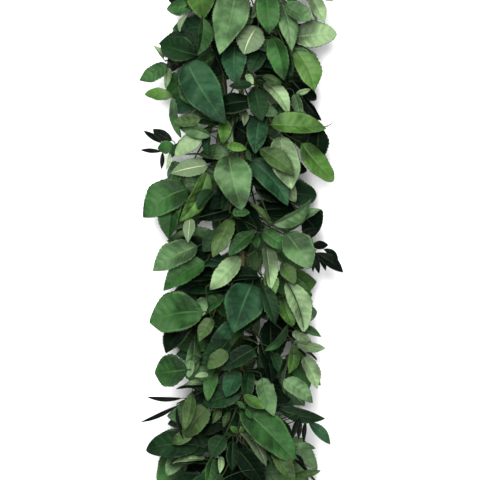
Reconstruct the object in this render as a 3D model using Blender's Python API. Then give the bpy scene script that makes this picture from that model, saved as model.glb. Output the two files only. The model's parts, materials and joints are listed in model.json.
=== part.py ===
"""A foliage garland of broad and narrow leaved sprays bound with wire to a rope, lying on a surface.

The garland runs along Y, with every tip pointing towards -Y, and its front faces up. Each spray lies on
a sheet of its own: a long tent over the rope, or its mirror image below the rope. The sheets nest like
the cones of a spruce cone's scales, so that the leaves of one spray lie over the stems of the next.
Leaves are placed in that order, and one that would touch another spray is lifted clear of it.
"""
import math
import random

import bmesh
import bpy
from mathutils import Matrix, Vector
from mathutils.bvhtree import BVHTree

# Driving dimensions, in metres
LENGTH = 0.914
STEP = 0.00155
AXIS_HEIGHT = 0.056
HALF_SPREAD = 0.168
SHEET_SLOPE = 0.40
REAR_SLOPE = 0.36
SHEET_START = 0.022
SHEET_RISE = 0.006

ROPE_RADIUS = 0.004
STEM_RADIUS = 0.0014
STALK_RADIUS = 0.0009
WIRE_RADIUS = 0.0006
WIRE_PITCH = 0.042
WIRE_TURN_SIDES = 8
GAP = 0.0003

STEM_RING = ROPE_RADIUS + STEM_RADIUS + GAP
WIRE_RING = 0.0088
RIB_THICKNESS = 0.0013
CLEARANCE = 0.0004
ROOT_OFFSET = 40
TOP_ROOT = 0.5 * LENGTH / STEP - 3
SLOTS = 10
STEM_SHIFTS = (0.0, 0.006, -0.006, 0.012, 0.020, -0.014, 0.030, -0.024, 0.040, -0.036, 0.052)
STEM_BULGES = (0.0, -0.005, 0.005, -0.010, 0.010, 0.016)
STEM_BOUNDS = (0.034, 0.026, 0.042, 0.020, 0.050)
NEAREST_SLOTS = 7
STEM_TUCK = 0.002
STEM_SHORT = 0.004
KNEE_DROP = 0.010
FIRST_FOOT = 0.30
LAST_FOOT = 0.97
FEET = 17
NEAREST_FEET = 6
LEAST_STALK = 0.003
ELBOW_REACH = 0.030
ELBOW_TURN = 0.8
ELBOW_BACK = 0.010
TURN_COST = 0.018
LIFT_STEP = 0.0016
LIFTS = 17
ROPE_FOOT = 0.030
ROPE_SIDES = 8
WIRE_END = 0.018
WIRE_SPARE = 0.100
WIRE_MARGIN = 0.0001
SHARP_ANGLE = math.radians(50)
SEED = 41

# A leaf's row is the x and y of its base, the x and y of its tip and its width as seen from the front,
# in layout steps from the middle of the garland, and its tone.
FRONT_SPRAYS = (
    ("top_left", "broad", (
        (-42, 268, -39, 220, 32, "bright"),
        (-39, 222, -44, 183, 12, "mid"),
        (-54, 225, -62, 208, 8, "under"),
    )),
    ("top_middle", "broad", (
        (2, 262, -1, 232, 14, "bright"),
        (18, 248, 9, 221, 13, "pale"),
        (23, 245, 26, 202, 26, "mid"),
        (16, 213, 2, 184, 29, "under"),
        (-6, 246, -22, 182, 38, "pale"),
    )),
    ("top_right", "broad", (
        (30, 202, 42, 158, 18, "mid"),
        (42, 194, 50, 162, 9, "dark"),
        (36, 246, 49, 188, 24, "sage"),
        (42, 235, 70, 220, 20, "sage"),
    )),
    ("top_right_edge", "broad", (
        (53, 190, 72, 149, 28, "bright"),
        (49, 203, 96, 208, 30, "pale"),
    )),
    ("top_right_corner", "broad", (
        (66, 252, 83, 218, 18, "pale"),
        (74, 248, 91, 240, 10, "pale"),
        (40, 262, 52, 236, 20, "mid"),
    )),
    ("upper_left_edge", "broad", (
        (-42, 195, -84, 198, 30, "dark"),
        (-65, 178, -71, 191, 4, "olive"),
        (-79, 182, -89, 196, 5, "pale"),
        (-45, 185, -82, 198, 28, "mid"),
    )),
    ("upper_left", "broad", (
        (-74, 174, -77, 152, 6, "pale"),
        (-74, 176, -102, 160, 18, "mid"),
        (-55, 178, -61, 147, 16, "olive"),
        (-55, 178, -16, 114, 40, "blue"),
    )),
    ("upper_middle", "broad", (
        (20, 190, 8, 166, 20, "dark"),
        (-6, 200, -6, 156, 26, "blue"),
        (5, 166, 11, 152, 8, "pale"),
        (10, 154, -13, 152, 10, "dark"),
        (20, 164, 40, 156, 10, "olive"),
    )),
    ("left_shoulder", "broad", (
        (-61, 154, -53, 136, 9, "bright"),
        (-70, 144, -61, 102, 14, "mid"),
        (-70, 144, -98, 147, 13, "bright"),
        (-39, 119, -67, 116, 13, "olive"),
    )),
    ("right_shoulder", "broad", (
        (13, 152, 20, 118, 22, "blue"),
        (20, 132, 36, 125, 12, "sage"),
        (22, 158, 47, 124, 18, "pale"),
        (52, 147, 59, 122, 10, "sage"),
    )),
    ("right_shoulder_edge", "broad", (
        (61, 143, 80, 120, 7, "black"),
        (54, 147, 69, 152, 5, "pale"),
        (28, 115, 85, 112, 26, "bright"),
        (84, 114, 93, 120, 3, "twig"),
    )),
    ("dark_sprig_left", "narrow", (
        (-70, 100, -90, 112, 12, "black"),
        (-80, 97, -99, 110, 6, "black"),
        (-81, 89, -103, 91, 5, "black"),
        (-80, 88, -81, 71, 5, "black"),
        (-68, 95, -85, 92, 14, "mid"),
        (-72, 90, -76, 70, 4, "pale"),
        (-64, 97, -70, 82, 8, "dark"),
    )),
    ("left_middle", "broad", (
        (-39, 108, -67, 84, 20, "pale"),
        (-31, 110, -32, 83, 9, "dark"),
        (-30, 102, -64, 114, 12, "sage"),
        (-32, 82, -58, 85, 6, "mid"),
    )),
    ("centre_narrow", "broad", (
        (-8, 120, -8, 92, 5, "under"),
        (2, 130, 2, 114, 8, "under"),
        (-18, 122, -19, 96, 14, "bright"),
        (-16, 94, 5, 90, 9, "bright"),
    )),
    ("right_middle", "broad", (
        (38, 104, 49, 50, 34, "pale"),
        (20, 128, 13, 86, 22, "blue"),
        (16, 88, 50, 62, 20, "olive"),
        (5, 90, 10, 78, 5, "mid"),
        (59, 97, 92, 59, 27, "bright"),
    )),
    ("centre_hero", "broad", (
        (-10, 27, 8, 27, 12, "mid"),
        (8, 80, 46, 34, 30, "blue"),
        (-13, 85, 0, 29, 38, "sage"),
    )),
    ("left_silver", "broad", (
        (-29, 50, -44, 30, 14, "dark"),
        (-35, 68, -63, 18, 16, "bright"),
        (-34, 75, -72, 67, 20, "under"),
    )),
    ("left_waist", "broad", (
        (-52, 22, -54, -3, 13, "under"),
        (-61, 48, -73, 0, 25, "dark"),
        (-53, 51, -99, 22, 38, "mid"),
    )),
    ("centre_waist", "broad", (
        (-20, 10, -39, -12, 20, "dark"),
        (12, 8, -13, -16, 17, "mid"),
        (-10, 22, -29, -18, 18, "olive"),
        (-10, 31, -49, 21, 4, "twig"),
    )),
    ("right_waist_inner", "broad", (
        (8, 37, 29, 12, 10, "olive"),
        (28, 64, 54, 38, 20, "under"),
        (31, 16, 69, 41, 15, "sage"),
    )),
    ("right_waist", "broad", (
        (15, 4, 15, -9, 8, "mid"),
        (21, 10, 47, -10, 18, "sage"),
        (48, 9, 80, 31, 13, "sage"),
        (43, 7, 68, -30, 32, "sage"),
    )),
    ("dark_sprig_right", "narrow", (
        (50, 8, 76, -18, 3, "twig"),
        (58, 2, 78, 10, 11, "black"),
        (70, -6, 87, -5, 9, "black"),
        (82, -9, 97, -20, 7, "black"),
        (74, -13, 102, -33, 13, "black"),
        (77, -17, 84, -31, 6, "black"),
        (72, -12, 77, -34, 8, "black"),
        (67, -8, 70, -33, 7, "black"),
    )),
    ("left_hip", "broad", (
        (-37, -22, -79, -51, 26, "mid"),
        (-43, -8, -88, -33, 29, "sage"),
    )),
    ("centre_hip", "broad", (
        (10, -44, -8, -92, 42, "blue"),
        (-2, -16, -32, -50, 22, "pale"),
        (-36, -50, -28, -85, 3, "twig"),
    )),
    ("right_hip_inner", "broad", (
        (40, -22, 53, -44, 16, "olive"),
        (26, -28, 28, -60, 16, "bright"),
        (24, -7, 28, -52, 13, "pale"),
        (20, -46, 32, -86, 18, "dark"),
    )),
    ("left_hero", "broad", (
        (-30, -78, -43, -102, 16, "olive"),
        (-36, -58, -54, -81, 17, "sage"),
        (-38, -73, -92, -84, 44, "mid"),
    )),
    ("right_hip", "broad", (
        (45, -86, 22, -110, 10, "mid"),
        (42, -59, 51, -86, 17, "bright"),
        (44, -42, 62, -92, 26, "pale"),
        (36, -32, 61, -88, 3, "twig"),
    )),
    ("centre_low", "broad", (
        (30, -112, 36, -132, 11, "dark"),
        (13, -108, -20, -130, 20, "dark"),
        (-14, -100, -38, -126, 24, "dark"),
        (-14, -112, -34, -130, 18, "sage"),
        (28, -73, -11, -107, 14, "mid"),
        (-33, -134, -47, -136, 6, "pale"),
    )),
    ("right_low_edge", "broad", (
        (50, -92, 71, -106, 10, "pale"),
        (54, -103, 84, -109, 10, "pale"),
        (51, -88, 80, -98, 13, "mid"),
    )),
    ("left_low", "broad", (
        (-48, -100, -56, -139, 13, "sage"),
        (-62, -120, -64, -138, 8, "olive"),
        (-49, -121, -52, -139, 11, "sage"),
        (-52, -131, -85, -135, 34, "mid"),
    )),
    ("centre_small", "broad", (
        (-4, -130, -16, -157, 20, "blue"),
        (-38, -144, -59, -146, 7, "pale"),
        (-39, -149, -66, -150, 8, "dark"),
        (-27, -128, -34, -161, 15, "mid"),
    )),
    ("right_low", "broad", (
        (41, -140, 71, -163, 20, "sage"),
        (63, -120, 79, -146, 10, "olive"),
        (60, -118, 74, -150, 18, "pale"),
        (51, -103, 46, -134, 14, "bright"),
    )),
    ("lower_centre", "broad", (
        (8, -132, 5, -162, 14, "dark"),
        (1, -156, 23, -170, 6, "bright"),
        (3, -168, -5, -161, 5, "mid"),
        (4, -168, 10, -178, 5, "mid"),
        (20, -138, 32, -176, 21, "mid"),
    )),
    ("dark_sprig_low_left", "narrow", (
        (-49, -154, -56, -192, 14, "olive"),
        (-60, -159, -97, -158, 5, "black"),
        (-64, -166, -103, -184, 5, "black"),
        (-65, -167, -58, -200, 4, "black"),
    )),
    ("lower_left", "broad", (
        (-47, -190, -71, -204, 14, "olive"),
        (-23, -164, -30, -184, 8, "olive"),
        (-34, -168, -56, -198, 28, "olive"),
    )),
    ("lower_left_hero", "broad", (
        (-36, -224, -74, -227, 11, "dark"),
        (-36, -220, -70, -225, 12, "pale"),
        (-42, -207, -97, -212, 30, "dark"),
    )),
    ("lower_star", "broad", (
        (-28, -215, -35, -245, 10, "mid"),
        (-21, -215, -22, -232, 7, "pale"),
        (-9, -200, -10, -230, 14, "dark"),
        (-17, -196, -29, -218, 20, "dark"),
        (-2, -190, 24, -226, 18, "under"),
        (-12, -172, -18, -188, 8, "olive"),
        (-4, -193, -12, -187, 6, "bright"),
        (-3, -193, 5, -187, 6, "bright"),
    )),
    ("lower_right_hero", "broad", (
        (28, -212, 50, -245, 18, "olive"),
        (26, -206, 43, -229, 20, "dark"),
        (-1, -169, 51, -222, 38, "mid"),
        (-20, -238, 13, -228, 3, "twig"),
    )),
    ("dark_sprig_low_right", "narrow", (
        (34, -168, 84, -180, 15, "dark"),
        (67, -183, 89, -206, 12, "blue"),
        (64, -182, 62, -204, 5, "black"),
        (57, -178, 56, -200, 6, "black"),
        (55, -180, 48, -201, 6, "black"),
        (51, -206, 74, -209, 8, "sage"),
        (53, -214, 62, -225, 4, "black"),
        (45, -235, 79, -231, 8, "olive"),
    )),
)

# A spray placed by rule: its side of the rope, the step at which its stem is cut, and its lean
RULE_SPRAYS = (
    ("end_left", "front", -182, -0.55),
    ("end_right", "front", -194, 0.55),
    ("end_middle", "front", -206, 0.10),
    ("side_left_1", "side", 264, -1.0),
    ("side_left_2", "side", 150, -1.0),
    ("side_left_3", "side", 20, -1.0),
    ("side_left_4", "side", -120, -1.0),
    ("side_right_1", "side", 256, 1.0),
    ("side_right_2", "side", 132, 1.0),
    ("side_right_3", "side", -2, 1.0),
    ("side_right_4", "side", -136, 1.0),
    ("back_1", "back", 276, -0.45),
    ("back_2", "back", 224, 0.45),
    ("back_3", "back", 162, -0.45),
    ("back_4", "back", 100, 0.45),
    ("back_5", "back", 38, -0.45),
    ("back_6", "back", -24, 0.45),
    ("back_7", "back", -86, -0.45),
    ("back_8", "back", -150, 0.45),
)
RULE_TONES = {
    "front": ("deep", "blue", "deep", "mid", "dark", "deep", "sage"),
    "side": ("mid", "dark", "sage", "mid", "blue", "mid", "bright", "deep"),
    "back": ("mid", "dark", "under", "mid", "blue", "under", "olive", "dark"),
}
RULE_SIZES = (34, 62)
RULE_WIDTHS = (0.50, 0.64)
RULE_LEAVES = {"front": 9, "side": 10, "back": 11}
STEM_TRIES = 8
RULE_REACH = {"front": 44, "side": 52, "back": 50}
RULE_RUN = {"front": 62, "side": 84, "back": 104}
RULE_RISE = {"front": (-0.026, 0.006), "side": (-0.030, 0.030), "back": (-0.020, 0.026)}
RULE_ROLL = {"front": 0.45, "side": 0.9, "back": 0.5}
RULE_EDGE = 76
LEAF_TURNS = (0.15, 1.5)
RULE_TURN = 1.6
END_MARGIN = 0.004
RULE_TRIES = 44
PLAN_WEIGHT = 3
FEWEST_CELLS = 22
FEWEST_LEAVES = 3
FRONT_EXTRAS = 3
CELL = 0.006
FLOOR_MARGIN = 0.004
MOST_HEIGHT = 0.124
FOOT_STEPS = (6, 24)
REACH_SPREAD = (0.8, 1.15)
RUN_SPREAD = (0.85, 1.08)
LAST_STEM_END = -0.5 * LENGTH + 0.045
END_RISE = 0.012
GUIDE_LENGTH = 0.03
ROUTE_LOOK = 0.05
SIDE_START = 0.02
HIDE_COST = 3.0

# A blade's form: its least width and its arch and bend as shares of its length, the angle of its fold,
# and its waves as shares of its width
LEAST_WIDTHS = (0.40, 0.50)
ARCHES = (0.03, 0.11)
BEND = 0.07
FOLDS = (0.12, 0.50)
WAVES = (0.012, 0.032)
WAVE_TURNS = 9.5
MOST_TILT = 1.0
ROLL_SPREAD = 0.12

# Places along a blade where the solid has a section, and the lengths from which a blade has more of them
BROAD_SECTIONS = (0.11, 0.36, 0.64, 0.88)
MIDDLE_SECTIONS = (0.17, 0.50, 0.83)
SMALL_SECTIONS = (0.26, 0.72)
NARROW_SECTIONS = (0.25, 0.65)
LONG_BLADE = 0.075
LONG_SESSILE = 0.085
MIDDLE_BLADE = 0.042

TONES = {
    "bright": (0.08, 0.19, 0.03),
    "mid": (0.035, 0.115, 0.025),
    "blue": (0.01, 0.055, 0.022),
    "dark": (0.007, 0.033, 0.010),
    "deep": (0.004, 0.018, 0.007),
    "pale": (0.15, 0.23, 0.09),
    "olive": (0.07, 0.13, 0.035),
    "under": (0.20, 0.28, 0.14),
    "sage": (0.05, 0.12, 0.04),
    "black": (0.003, 0.007, 0.004),
}


class Leaf:
    """One leaf or twig: where its blade lies and how the blade is bent."""

    def __init__(self, base, tip, width, kind, tone, hint, rng):
        span = (tip - base).length
        self.base = base
        self.tip = tip
        self.kind = kind
        self.tone = tone
        self.hint = hint
        self.seen_width = width
        self.width = width
        self.tilt = 0.0
        if kind == "broad":
            self.width = max(width, rng.uniform(*LEAST_WIDTHS) * span)
            self.tilt = min(math.acos(min(1.0, width / self.width)), MOST_TILT) * rng.choice((-1, 1))
        self.roll = self.tilt + rng.uniform(-ROLL_SPREAD, ROLL_SPREAD)
        self.arch = rng.uniform(*ARCHES) * span
        self.bend = rng.uniform(-BEND, BEND) * span
        self.fold = rng.uniform(*FOLDS)
        self.wave = rng.uniform(*WAVES) * self.width
        self.phase = rng.uniform(0.0, math.tau)
        self.belly = 0.78 + 0.03 * self.phase
        self.point = 0.34 - 0.05 * self.phase
        self.stalk = []
        self.sessile = False
        if kind == "twig":
            self.fold = 0.0
            self.wave = 0.0

    def moved(self, base_lift, tip_lift, roll):
        """A copy raised along its hint, by one height at the base and another at the tip."""
        other = object.__new__(Leaf)
        other.__dict__.update(self.__dict__)
        other.base = self.base + self.hint * base_lift
        other.tip = self.tip + self.hint * tip_lift
        other.roll = roll
        return other


class Spray:
    """A stem with its leaves, the side of the rope it lies on and where its stem is cut."""

    def __init__(self, name, kind, family, root_y, number):
        self.name = name
        self.kind = kind
        self.family = family
        self.root_y = min(root_y, TOP_ROOT * STEP)
        self.rng = random.Random(SEED * 1000 + number)
        self.slope = self.rng.uniform(-0.10, 0.10)
        self.route = []
        self.leaves = []


def outline(leaf, t):
    """Half-width of a blade at t along it, as a share of its greatest half-width."""
    if leaf.kind == "twig":
        return 1.0 - 0.5 * t
    if leaf.kind == "narrow":
        return math.sin(math.pi * t ** 0.9) ** 0.85
    return max(math.sin(math.pi * t ** leaf.belly), 0.0) ** (0.60 + leaf.point * t * t)


def blade_frame(leaf):
    """The blade's direction, its side and its upper normal, before it is rolled."""
    along = (leaf.tip - leaf.base).normalized()
    normal = (leaf.hint - along * leaf.hint.dot(along)).normalized()
    return along, along.cross(normal), normal


def blade_point(leaf, t, across):
    """The point of the blade's middle surface at t along it and -1 to 1 across it, with its normal."""
    along, side, normal = blade_frame(leaf)
    cos, sin = math.cos(leaf.roll), math.sin(leaf.roll)
    up = normal * cos + side * sin
    out = side * cos - normal * sin
    bow = 4.0 * t * (1.0 - t)
    half = 0.5 * leaf.width * outline(leaf, t)
    ripple = leaf.wave * math.sin(WAVE_TURNS * t + leaf.phase + 2.1 * (across > 0))
    reach = half * across
    rise = abs(reach) * math.sin(leaf.fold) + ripple * abs(across)
    centre = leaf.base.lerp(leaf.tip, t) + up * (leaf.arch * bow) + out * (leaf.bend * bow)
    return centre + out * (reach * math.cos(leaf.fold)) + up * rise, up


def sections_of(leaf):
    if leaf.kind in ("narrow", "twig"):
        return NARROW_SECTIONS
    span = (leaf.tip - leaf.base).length
    if leaf.sessile:
        return MIDDLE_SECTIONS if span > LONG_SESSILE else SMALL_SECTIONS
    if span > LONG_BLADE:
        return BROAD_SECTIONS
    return MIDDLE_SECTIONS if span > MIDDLE_BLADE else SMALL_SECTIONS


def blade_rings(leaf, grown=0.0):
    """The blade's sections from its stalk to its tip. With grown they are thickened, for the clearance test."""
    rings = []
    along, _, _ = blade_frame(leaf)
    if leaf.sessile:
        rings.append([leaf.base])
    for t in sections_of(leaf) if leaf.sessile else (0.0,) + sections_of(leaf):
        middle, up = blade_point(leaf, t, 0.0)
        left, _ = blade_point(leaf, t, -1.0)
        right, _ = blade_point(leaf, t, 1.0)
        out = (right - left).normalized() if t else along.cross(up)
        if leaf.kind == "twig" or not t:
            left, right = middle - out * STALK_RADIUS, middle + out * STALK_RADIUS
        half = 0.5 * RIB_THICKNESS + grown
        if grown:
            left, right = left - out * grown, right + out * grown
            rings.append([
                left - up * grown, left + up * grown, middle + up * half,
                right + up * grown, right - up * grown, middle - up * half,
            ])
        else:
            rings.append([left, middle + up * half, right, middle - up * half])
    end, _ = blade_point(leaf, 1.0, 0.0)
    return rings + [[end]]


def loft(rings):
    """A closed mesh through rings of points. Opposite faces are split along matching diagonals."""
    points, rows = [], []
    for ring in rings:
        rows.append(range(len(points), len(points) + len(ring)))
        points.extend(ring)
    faces = []
    for low, high in zip(rows, rows[1:]):
        count = max(len(low), len(high))
        for k in range(count):
            a, b = low[k % len(low)], low[(k + 1) % len(low)]
            d, c = high[k % len(high)], high[(k + 1) % len(high)]
            if len(low) == 1:
                faces.append((a, c, d))
            elif len(high) == 1:
                faces.append((a, b, d))
            elif k % 2:
                faces += [(a, b, d), (b, c, d)]
            else:
                faces += [(a, b, c), (a, c, d)]
    for row, forward in ((rows[0], False), (rows[-1], True)):
        for k in range(1, len(row) - 1):
            face = (row[0], row[k], row[k + 1])
            faces.append(face if forward else face[::-1])
    volume = sum(points[a].dot(points[b].cross(points[c])) for a, b, c in faces)
    if volume < 0:
        faces = [face[::-1] for face in faces]
    return points, faces


def tube_rings(points, radius, sides, end_scale=1.0, side=Vector((1, 0, 0))):
    """Rings of a tube along points, turned with the path. With 3 sides, a corner points away from side."""
    rings = []
    for k, point in enumerate(points):
        ahead = points[min(k + 1, len(points) - 1)] - points[max(k - 1, 0)]
        ahead.normalize()
        side = (side - ahead * side.dot(ahead)).normalized()
        up = ahead.cross(side)
        share = k / (len(points) - 1)
        size = radius * (1.0 + (end_scale - 1.0) * share)
        rings.append([
            point + side * size * math.cos(turn) + up * size * math.sin(turn)
            for turn in (math.tau * (n + 0.5) / sides for n in range(sides))
        ])
    return rings


class Obstacles:
    """Everything placed so far, for telling whether a new piece touches another spray."""

    def __init__(self):
        self.held = []

    @staticmethod
    def entry(mesh, owner, part):
        points, faces = mesh
        low = Vector(tuple(min(p[k] for p in points) for k in range(3)))
        high = Vector(tuple(max(p[k] for p in points) for k in range(3)))
        return BVHTree.FromPolygons(points, faces), low, high, owner, part

    def add(self, mesh, owner, part):
        self.held.append(self.entry(mesh, owner, part))

    def touches(self, mesh, owner, part):
        """A blade keeps clear of every other blade; the rest of a spray may join its own stem and stalks."""
        tree, low, high, _, _ = self.entry(mesh, owner, part)
        for other, other_low, other_high, other_owner, other_part in self.held:
            if other_owner == owner and not (part == "blade" and other_part == "blade"):
                continue
            if any(high[k] < other_low[k] or other_high[k] < low[k] for k in range(3)):
                continue
            if tree.overlap(other):
                return True
        return False


def sheet_point(spray, x, y):
    """The point over (x, y) of the sheet on which a spray lies."""
    down = max(spray.root_y - y - SHEET_START, 0.0)
    share = min(abs(x) / HALF_SPREAD, 1.1)
    if spray.family == "front":
        height = (SHEET_RISE + SHEET_SLOPE * down) * (1.0 - share ** 2)
    elif spray.family == "back":
        height = -min(SHEET_RISE + REAR_SLOPE * down, AXIS_HEIGHT - FLOOR_MARGIN) * (1.0 - share ** 4)
    else:
        height = spray.slope * down
    return Vector((x, y, AXIS_HEIGHT + height))


def sheet_normal(spray, x, y):
    """Outward normal of that sheet, which the blades there face."""
    tiny = 0.002
    here = sheet_point(spray, x, y)
    over = sheet_point(spray, x + tiny, y) - here
    along = sheet_point(spray, x, y + tiny) - here
    normal = over.cross(along).normalized()
    return -normal if spray.family == "back" else normal


def rule_end(spray, lean):
    """Where the stem of a spray placed by rule ends."""
    out, down = FOOT_STEPS
    x = STEP * lean * (out + RULE_REACH[spray.family] * spray.rng.uniform(*REACH_SPREAD))
    y = spray.root_y - STEP * (down + RULE_RUN[spray.family] * spray.rng.uniform(*RUN_SPREAD))
    end = sheet_point(spray, x, max(y, LAST_STEM_END))
    end.z += spray.rng.uniform(-END_RISE, END_RISE)
    return end


def rule_leaf(spray):
    """One try at a leaf that grows from the stem of a spray, turned to one side of it."""
    rng = spray.rng
    share = rng.uniform(FIRST_FOOT, LAST_FOOT)
    foot = along_route(spray.route, share)
    ahead = along_route(spray.route, min(share + ROUTE_LOOK, 1.0))
    ahead -= along_route(spray.route, share - ROUTE_LOOK)
    turn = math.atan2(ahead.x, -ahead.y) + rng.choice((-1, 1)) * rng.uniform(*LEAF_TURNS)
    turn = max(-RULE_TURN, min(RULE_TURN, turn))
    size = STEP * rng.uniform(*RULE_SIZES)
    x = max(-RULE_EDGE * STEP, min(RULE_EDGE * STEP, foot.x + size * math.sin(turn)))
    y = max(foot.y - size * math.cos(turn), -0.5 * LENGTH + END_MARGIN)
    rise = Vector((0, 0, rng.uniform(*RULE_RISE[spray.family])))
    tip = foot + sheet_point(spray, x, y) - sheet_point(spray, foot.x, foot.y) + rise
    tip.z = min(tip.z, MOST_HEIGHT)
    hint = sheet_normal(spray, 0.5 * (x + foot.x), 0.5 * (y + foot.y))
    tone = rng.choice(RULE_TONES[spray.family])
    leaf = Leaf(foot, tip, size * rng.uniform(*RULE_WIDTHS), "broad", tone, hint, rng)
    leaf.roll = rng.gauss(0.0, RULE_ROLL[spray.family])
    leaf.sessile = True
    return keep_above_floor(leaf)


def cells_of(leaf):
    """Cells that a blade covers on a grid in plan, with its height there, and on one grid for each side."""
    found = {}
    for i in range(1, 10):
        for across in (-0.9, -0.45, 0.0, 0.45, 0.9):
            point, _ = blade_point(leaf, i / 10, across)
            x, y, z = (round(value / CELL) for value in point)
            if abs(point.x) < RULE_EDGE * STEP:
                found["plan", x, y] = point.z
            if abs(point.x) > SIDE_START:
                found[point.x > 0, y, z] = 0.0
    return found


def make_leaf(row, spray):
    x0, y0, x1, y1, width, tone = row
    base = sheet_point(spray, x0 * STEP, y0 * STEP)
    tip = sheet_point(spray, x1 * STEP, y1 * STEP)
    middle = base.lerp(tip, 0.5)
    hint = sheet_normal(spray, middle.x, middle.y)
    shape = "twig" if tone == "twig" else spray.kind
    leaf = Leaf(base, tip, width * STEP, shape, tone, hint, spray.rng)
    leaf.width /= math.cos(leaf.fold)
    return leaf


def bound_point(slot, y):
    turn = math.tau * slot / SLOTS
    return Vector((STEM_RING * math.sin(turn), y, AXIS_HEIGHT + STEM_RING * math.cos(turn)))


def stem_route(slot, bound, root_y, leaves, bulge):
    """From the cut end along the rope, then out to the foot of the furthest leaf."""
    last = min(leaves, key=lambda leaf: leaf.base.y - 0.3 * abs(leaf.base.x))
    middle = sum((leaf.base for leaf in leaves), Vector()) / len(leaves)
    drop = Vector((0, 0, -STEM_TUCK if last.hint.z > 0 else STEM_TUCK))
    start = bound_point(slot, root_y - bound)
    end = last.base - (last.tip - last.base).normalized() * STEM_SHORT + drop
    knee = middle.lerp(start.lerp(end, 0.5), 0.35) + drop + last.hint * bulge
    knee.y = min(knee.y, start.y - KNEE_DROP)
    if end.y > knee.y - STEM_SHORT:
        knee.y = 0.5 * (start.y + end.y)
    route = [bound_point(slot, root_y), start]
    for share in (0.3, 0.6, 0.82, 1.0):
        route.append(start.lerp(knee, share).lerp(knee.lerp(end, share), share))
    return route


def along_route(route, share):
    place = share * (len(route) - 1)
    k = min(int(place), len(route) - 2)
    return route[k].lerp(route[k + 1], place - k)


def stalk_rings(foot, leaf, grown=0.0):
    """From inside the stem towards the blade, with an elbow where the stalk turns into the blade's direction."""
    size = STALK_RADIUS + grown
    along, _, _ = blade_frame(leaf)
    reach = (leaf.base - foot).length
    turn = along.dot((leaf.base - foot).normalized())
    rings = [[foot]]
    if reach > ELBOW_REACH or turn < ELBOW_TURN:
        elbow = leaf.base - along * min(0.4 * reach, ELBOW_BACK)
        ahead = ((elbow - foot).normalized() + along).normalized()
        up = (leaf.hint - ahead * leaf.hint.dot(ahead)).normalized()
        side = ahead.cross(up)
        rings.append([elbow - side * size, elbow + up * size, elbow + side * size, elbow - up * size])
    return rings


def stalk_solid(foot, leaf, grown=0.0):
    """The stalk alone, up to the blade."""
    _, side, up = blade_frame(leaf)
    size = STALK_RADIUS + grown
    base = leaf.base
    end = [base - side * size, base + up * size, base + side * size, base - up * size]
    return loft(stalk_rings(foot, leaf, grown) + [end])


def keep_above_floor(leaf):
    """Bends a leaf up where it would pass through the surface that the garland lies on."""
    for _ in range(8):
        lowest = min(point.z for ring in blade_rings(leaf) for point in ring)
        if lowest >= GAP:
            break
        leaf.tip = leaf.tip + Vector((0, 0, 1.5 * (GAP - lowest)))
        leaf.arch *= 0.7
    return leaf if lowest >= 0 else None


def stalk_cost(foot, base, along):
    """How far a stalk from foot to base is, with more for one that has to turn back into the leaf."""
    way = base - foot
    return way.length + TURN_COST * (1.0 - along.dot(way.normalized()))


def clear_leaf(leaf, feet, owner, obstacles, lifts):
    """The first of the leaf's tries that touches no other spray, with its foot on the stem, or None."""
    for lift, share, roll in lifts:
        tried = keep_above_floor(leaf.moved(lift * share, lift, roll))
        if tried is None or obstacles.touches(loft(blade_rings(tried, CLEARANCE)), owner, "blade"):
            continue
        along = (tried.tip - tried.base).normalized()
        for foot in sorted(feet, key=lambda point: stalk_cost(point, tried.base, along))[:NEAREST_FEET]:
            if (foot - tried.base).length < LEAST_STALK:
                continue
            if not obstacles.touches(stalk_solid(foot, tried, CLEARANCE), owner, "stalk"):
                tried.stalk = stalk_rings(foot, tried)
                return tried
    return None


def lift_tries(leaf):
    """Ways to lift a leaf, the least first: how far, how much of it at the base, and the blade's roll."""
    rolls = [leaf.roll, leaf.roll - 2 * leaf.tilt, 0.5 * leaf.roll, 0.0]
    tries = []
    for k in range(LIFTS):
        height = LIFT_STEP * k
        for roll in rolls if k < 5 else rolls[::3]:
            tries.append((height, 0.45, roll))
            tries.append((height, 1.0, roll))
    return tries


def stem_rings(spray):
    """The stem, with a corner along the rope where it is bound."""
    start = spray.route[0]
    outward = start - Vector((0, start.y, AXIS_HEIGHT))
    return tube_rings(spray.route, STEM_RADIUS, 3, 0.7, outward)


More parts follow.
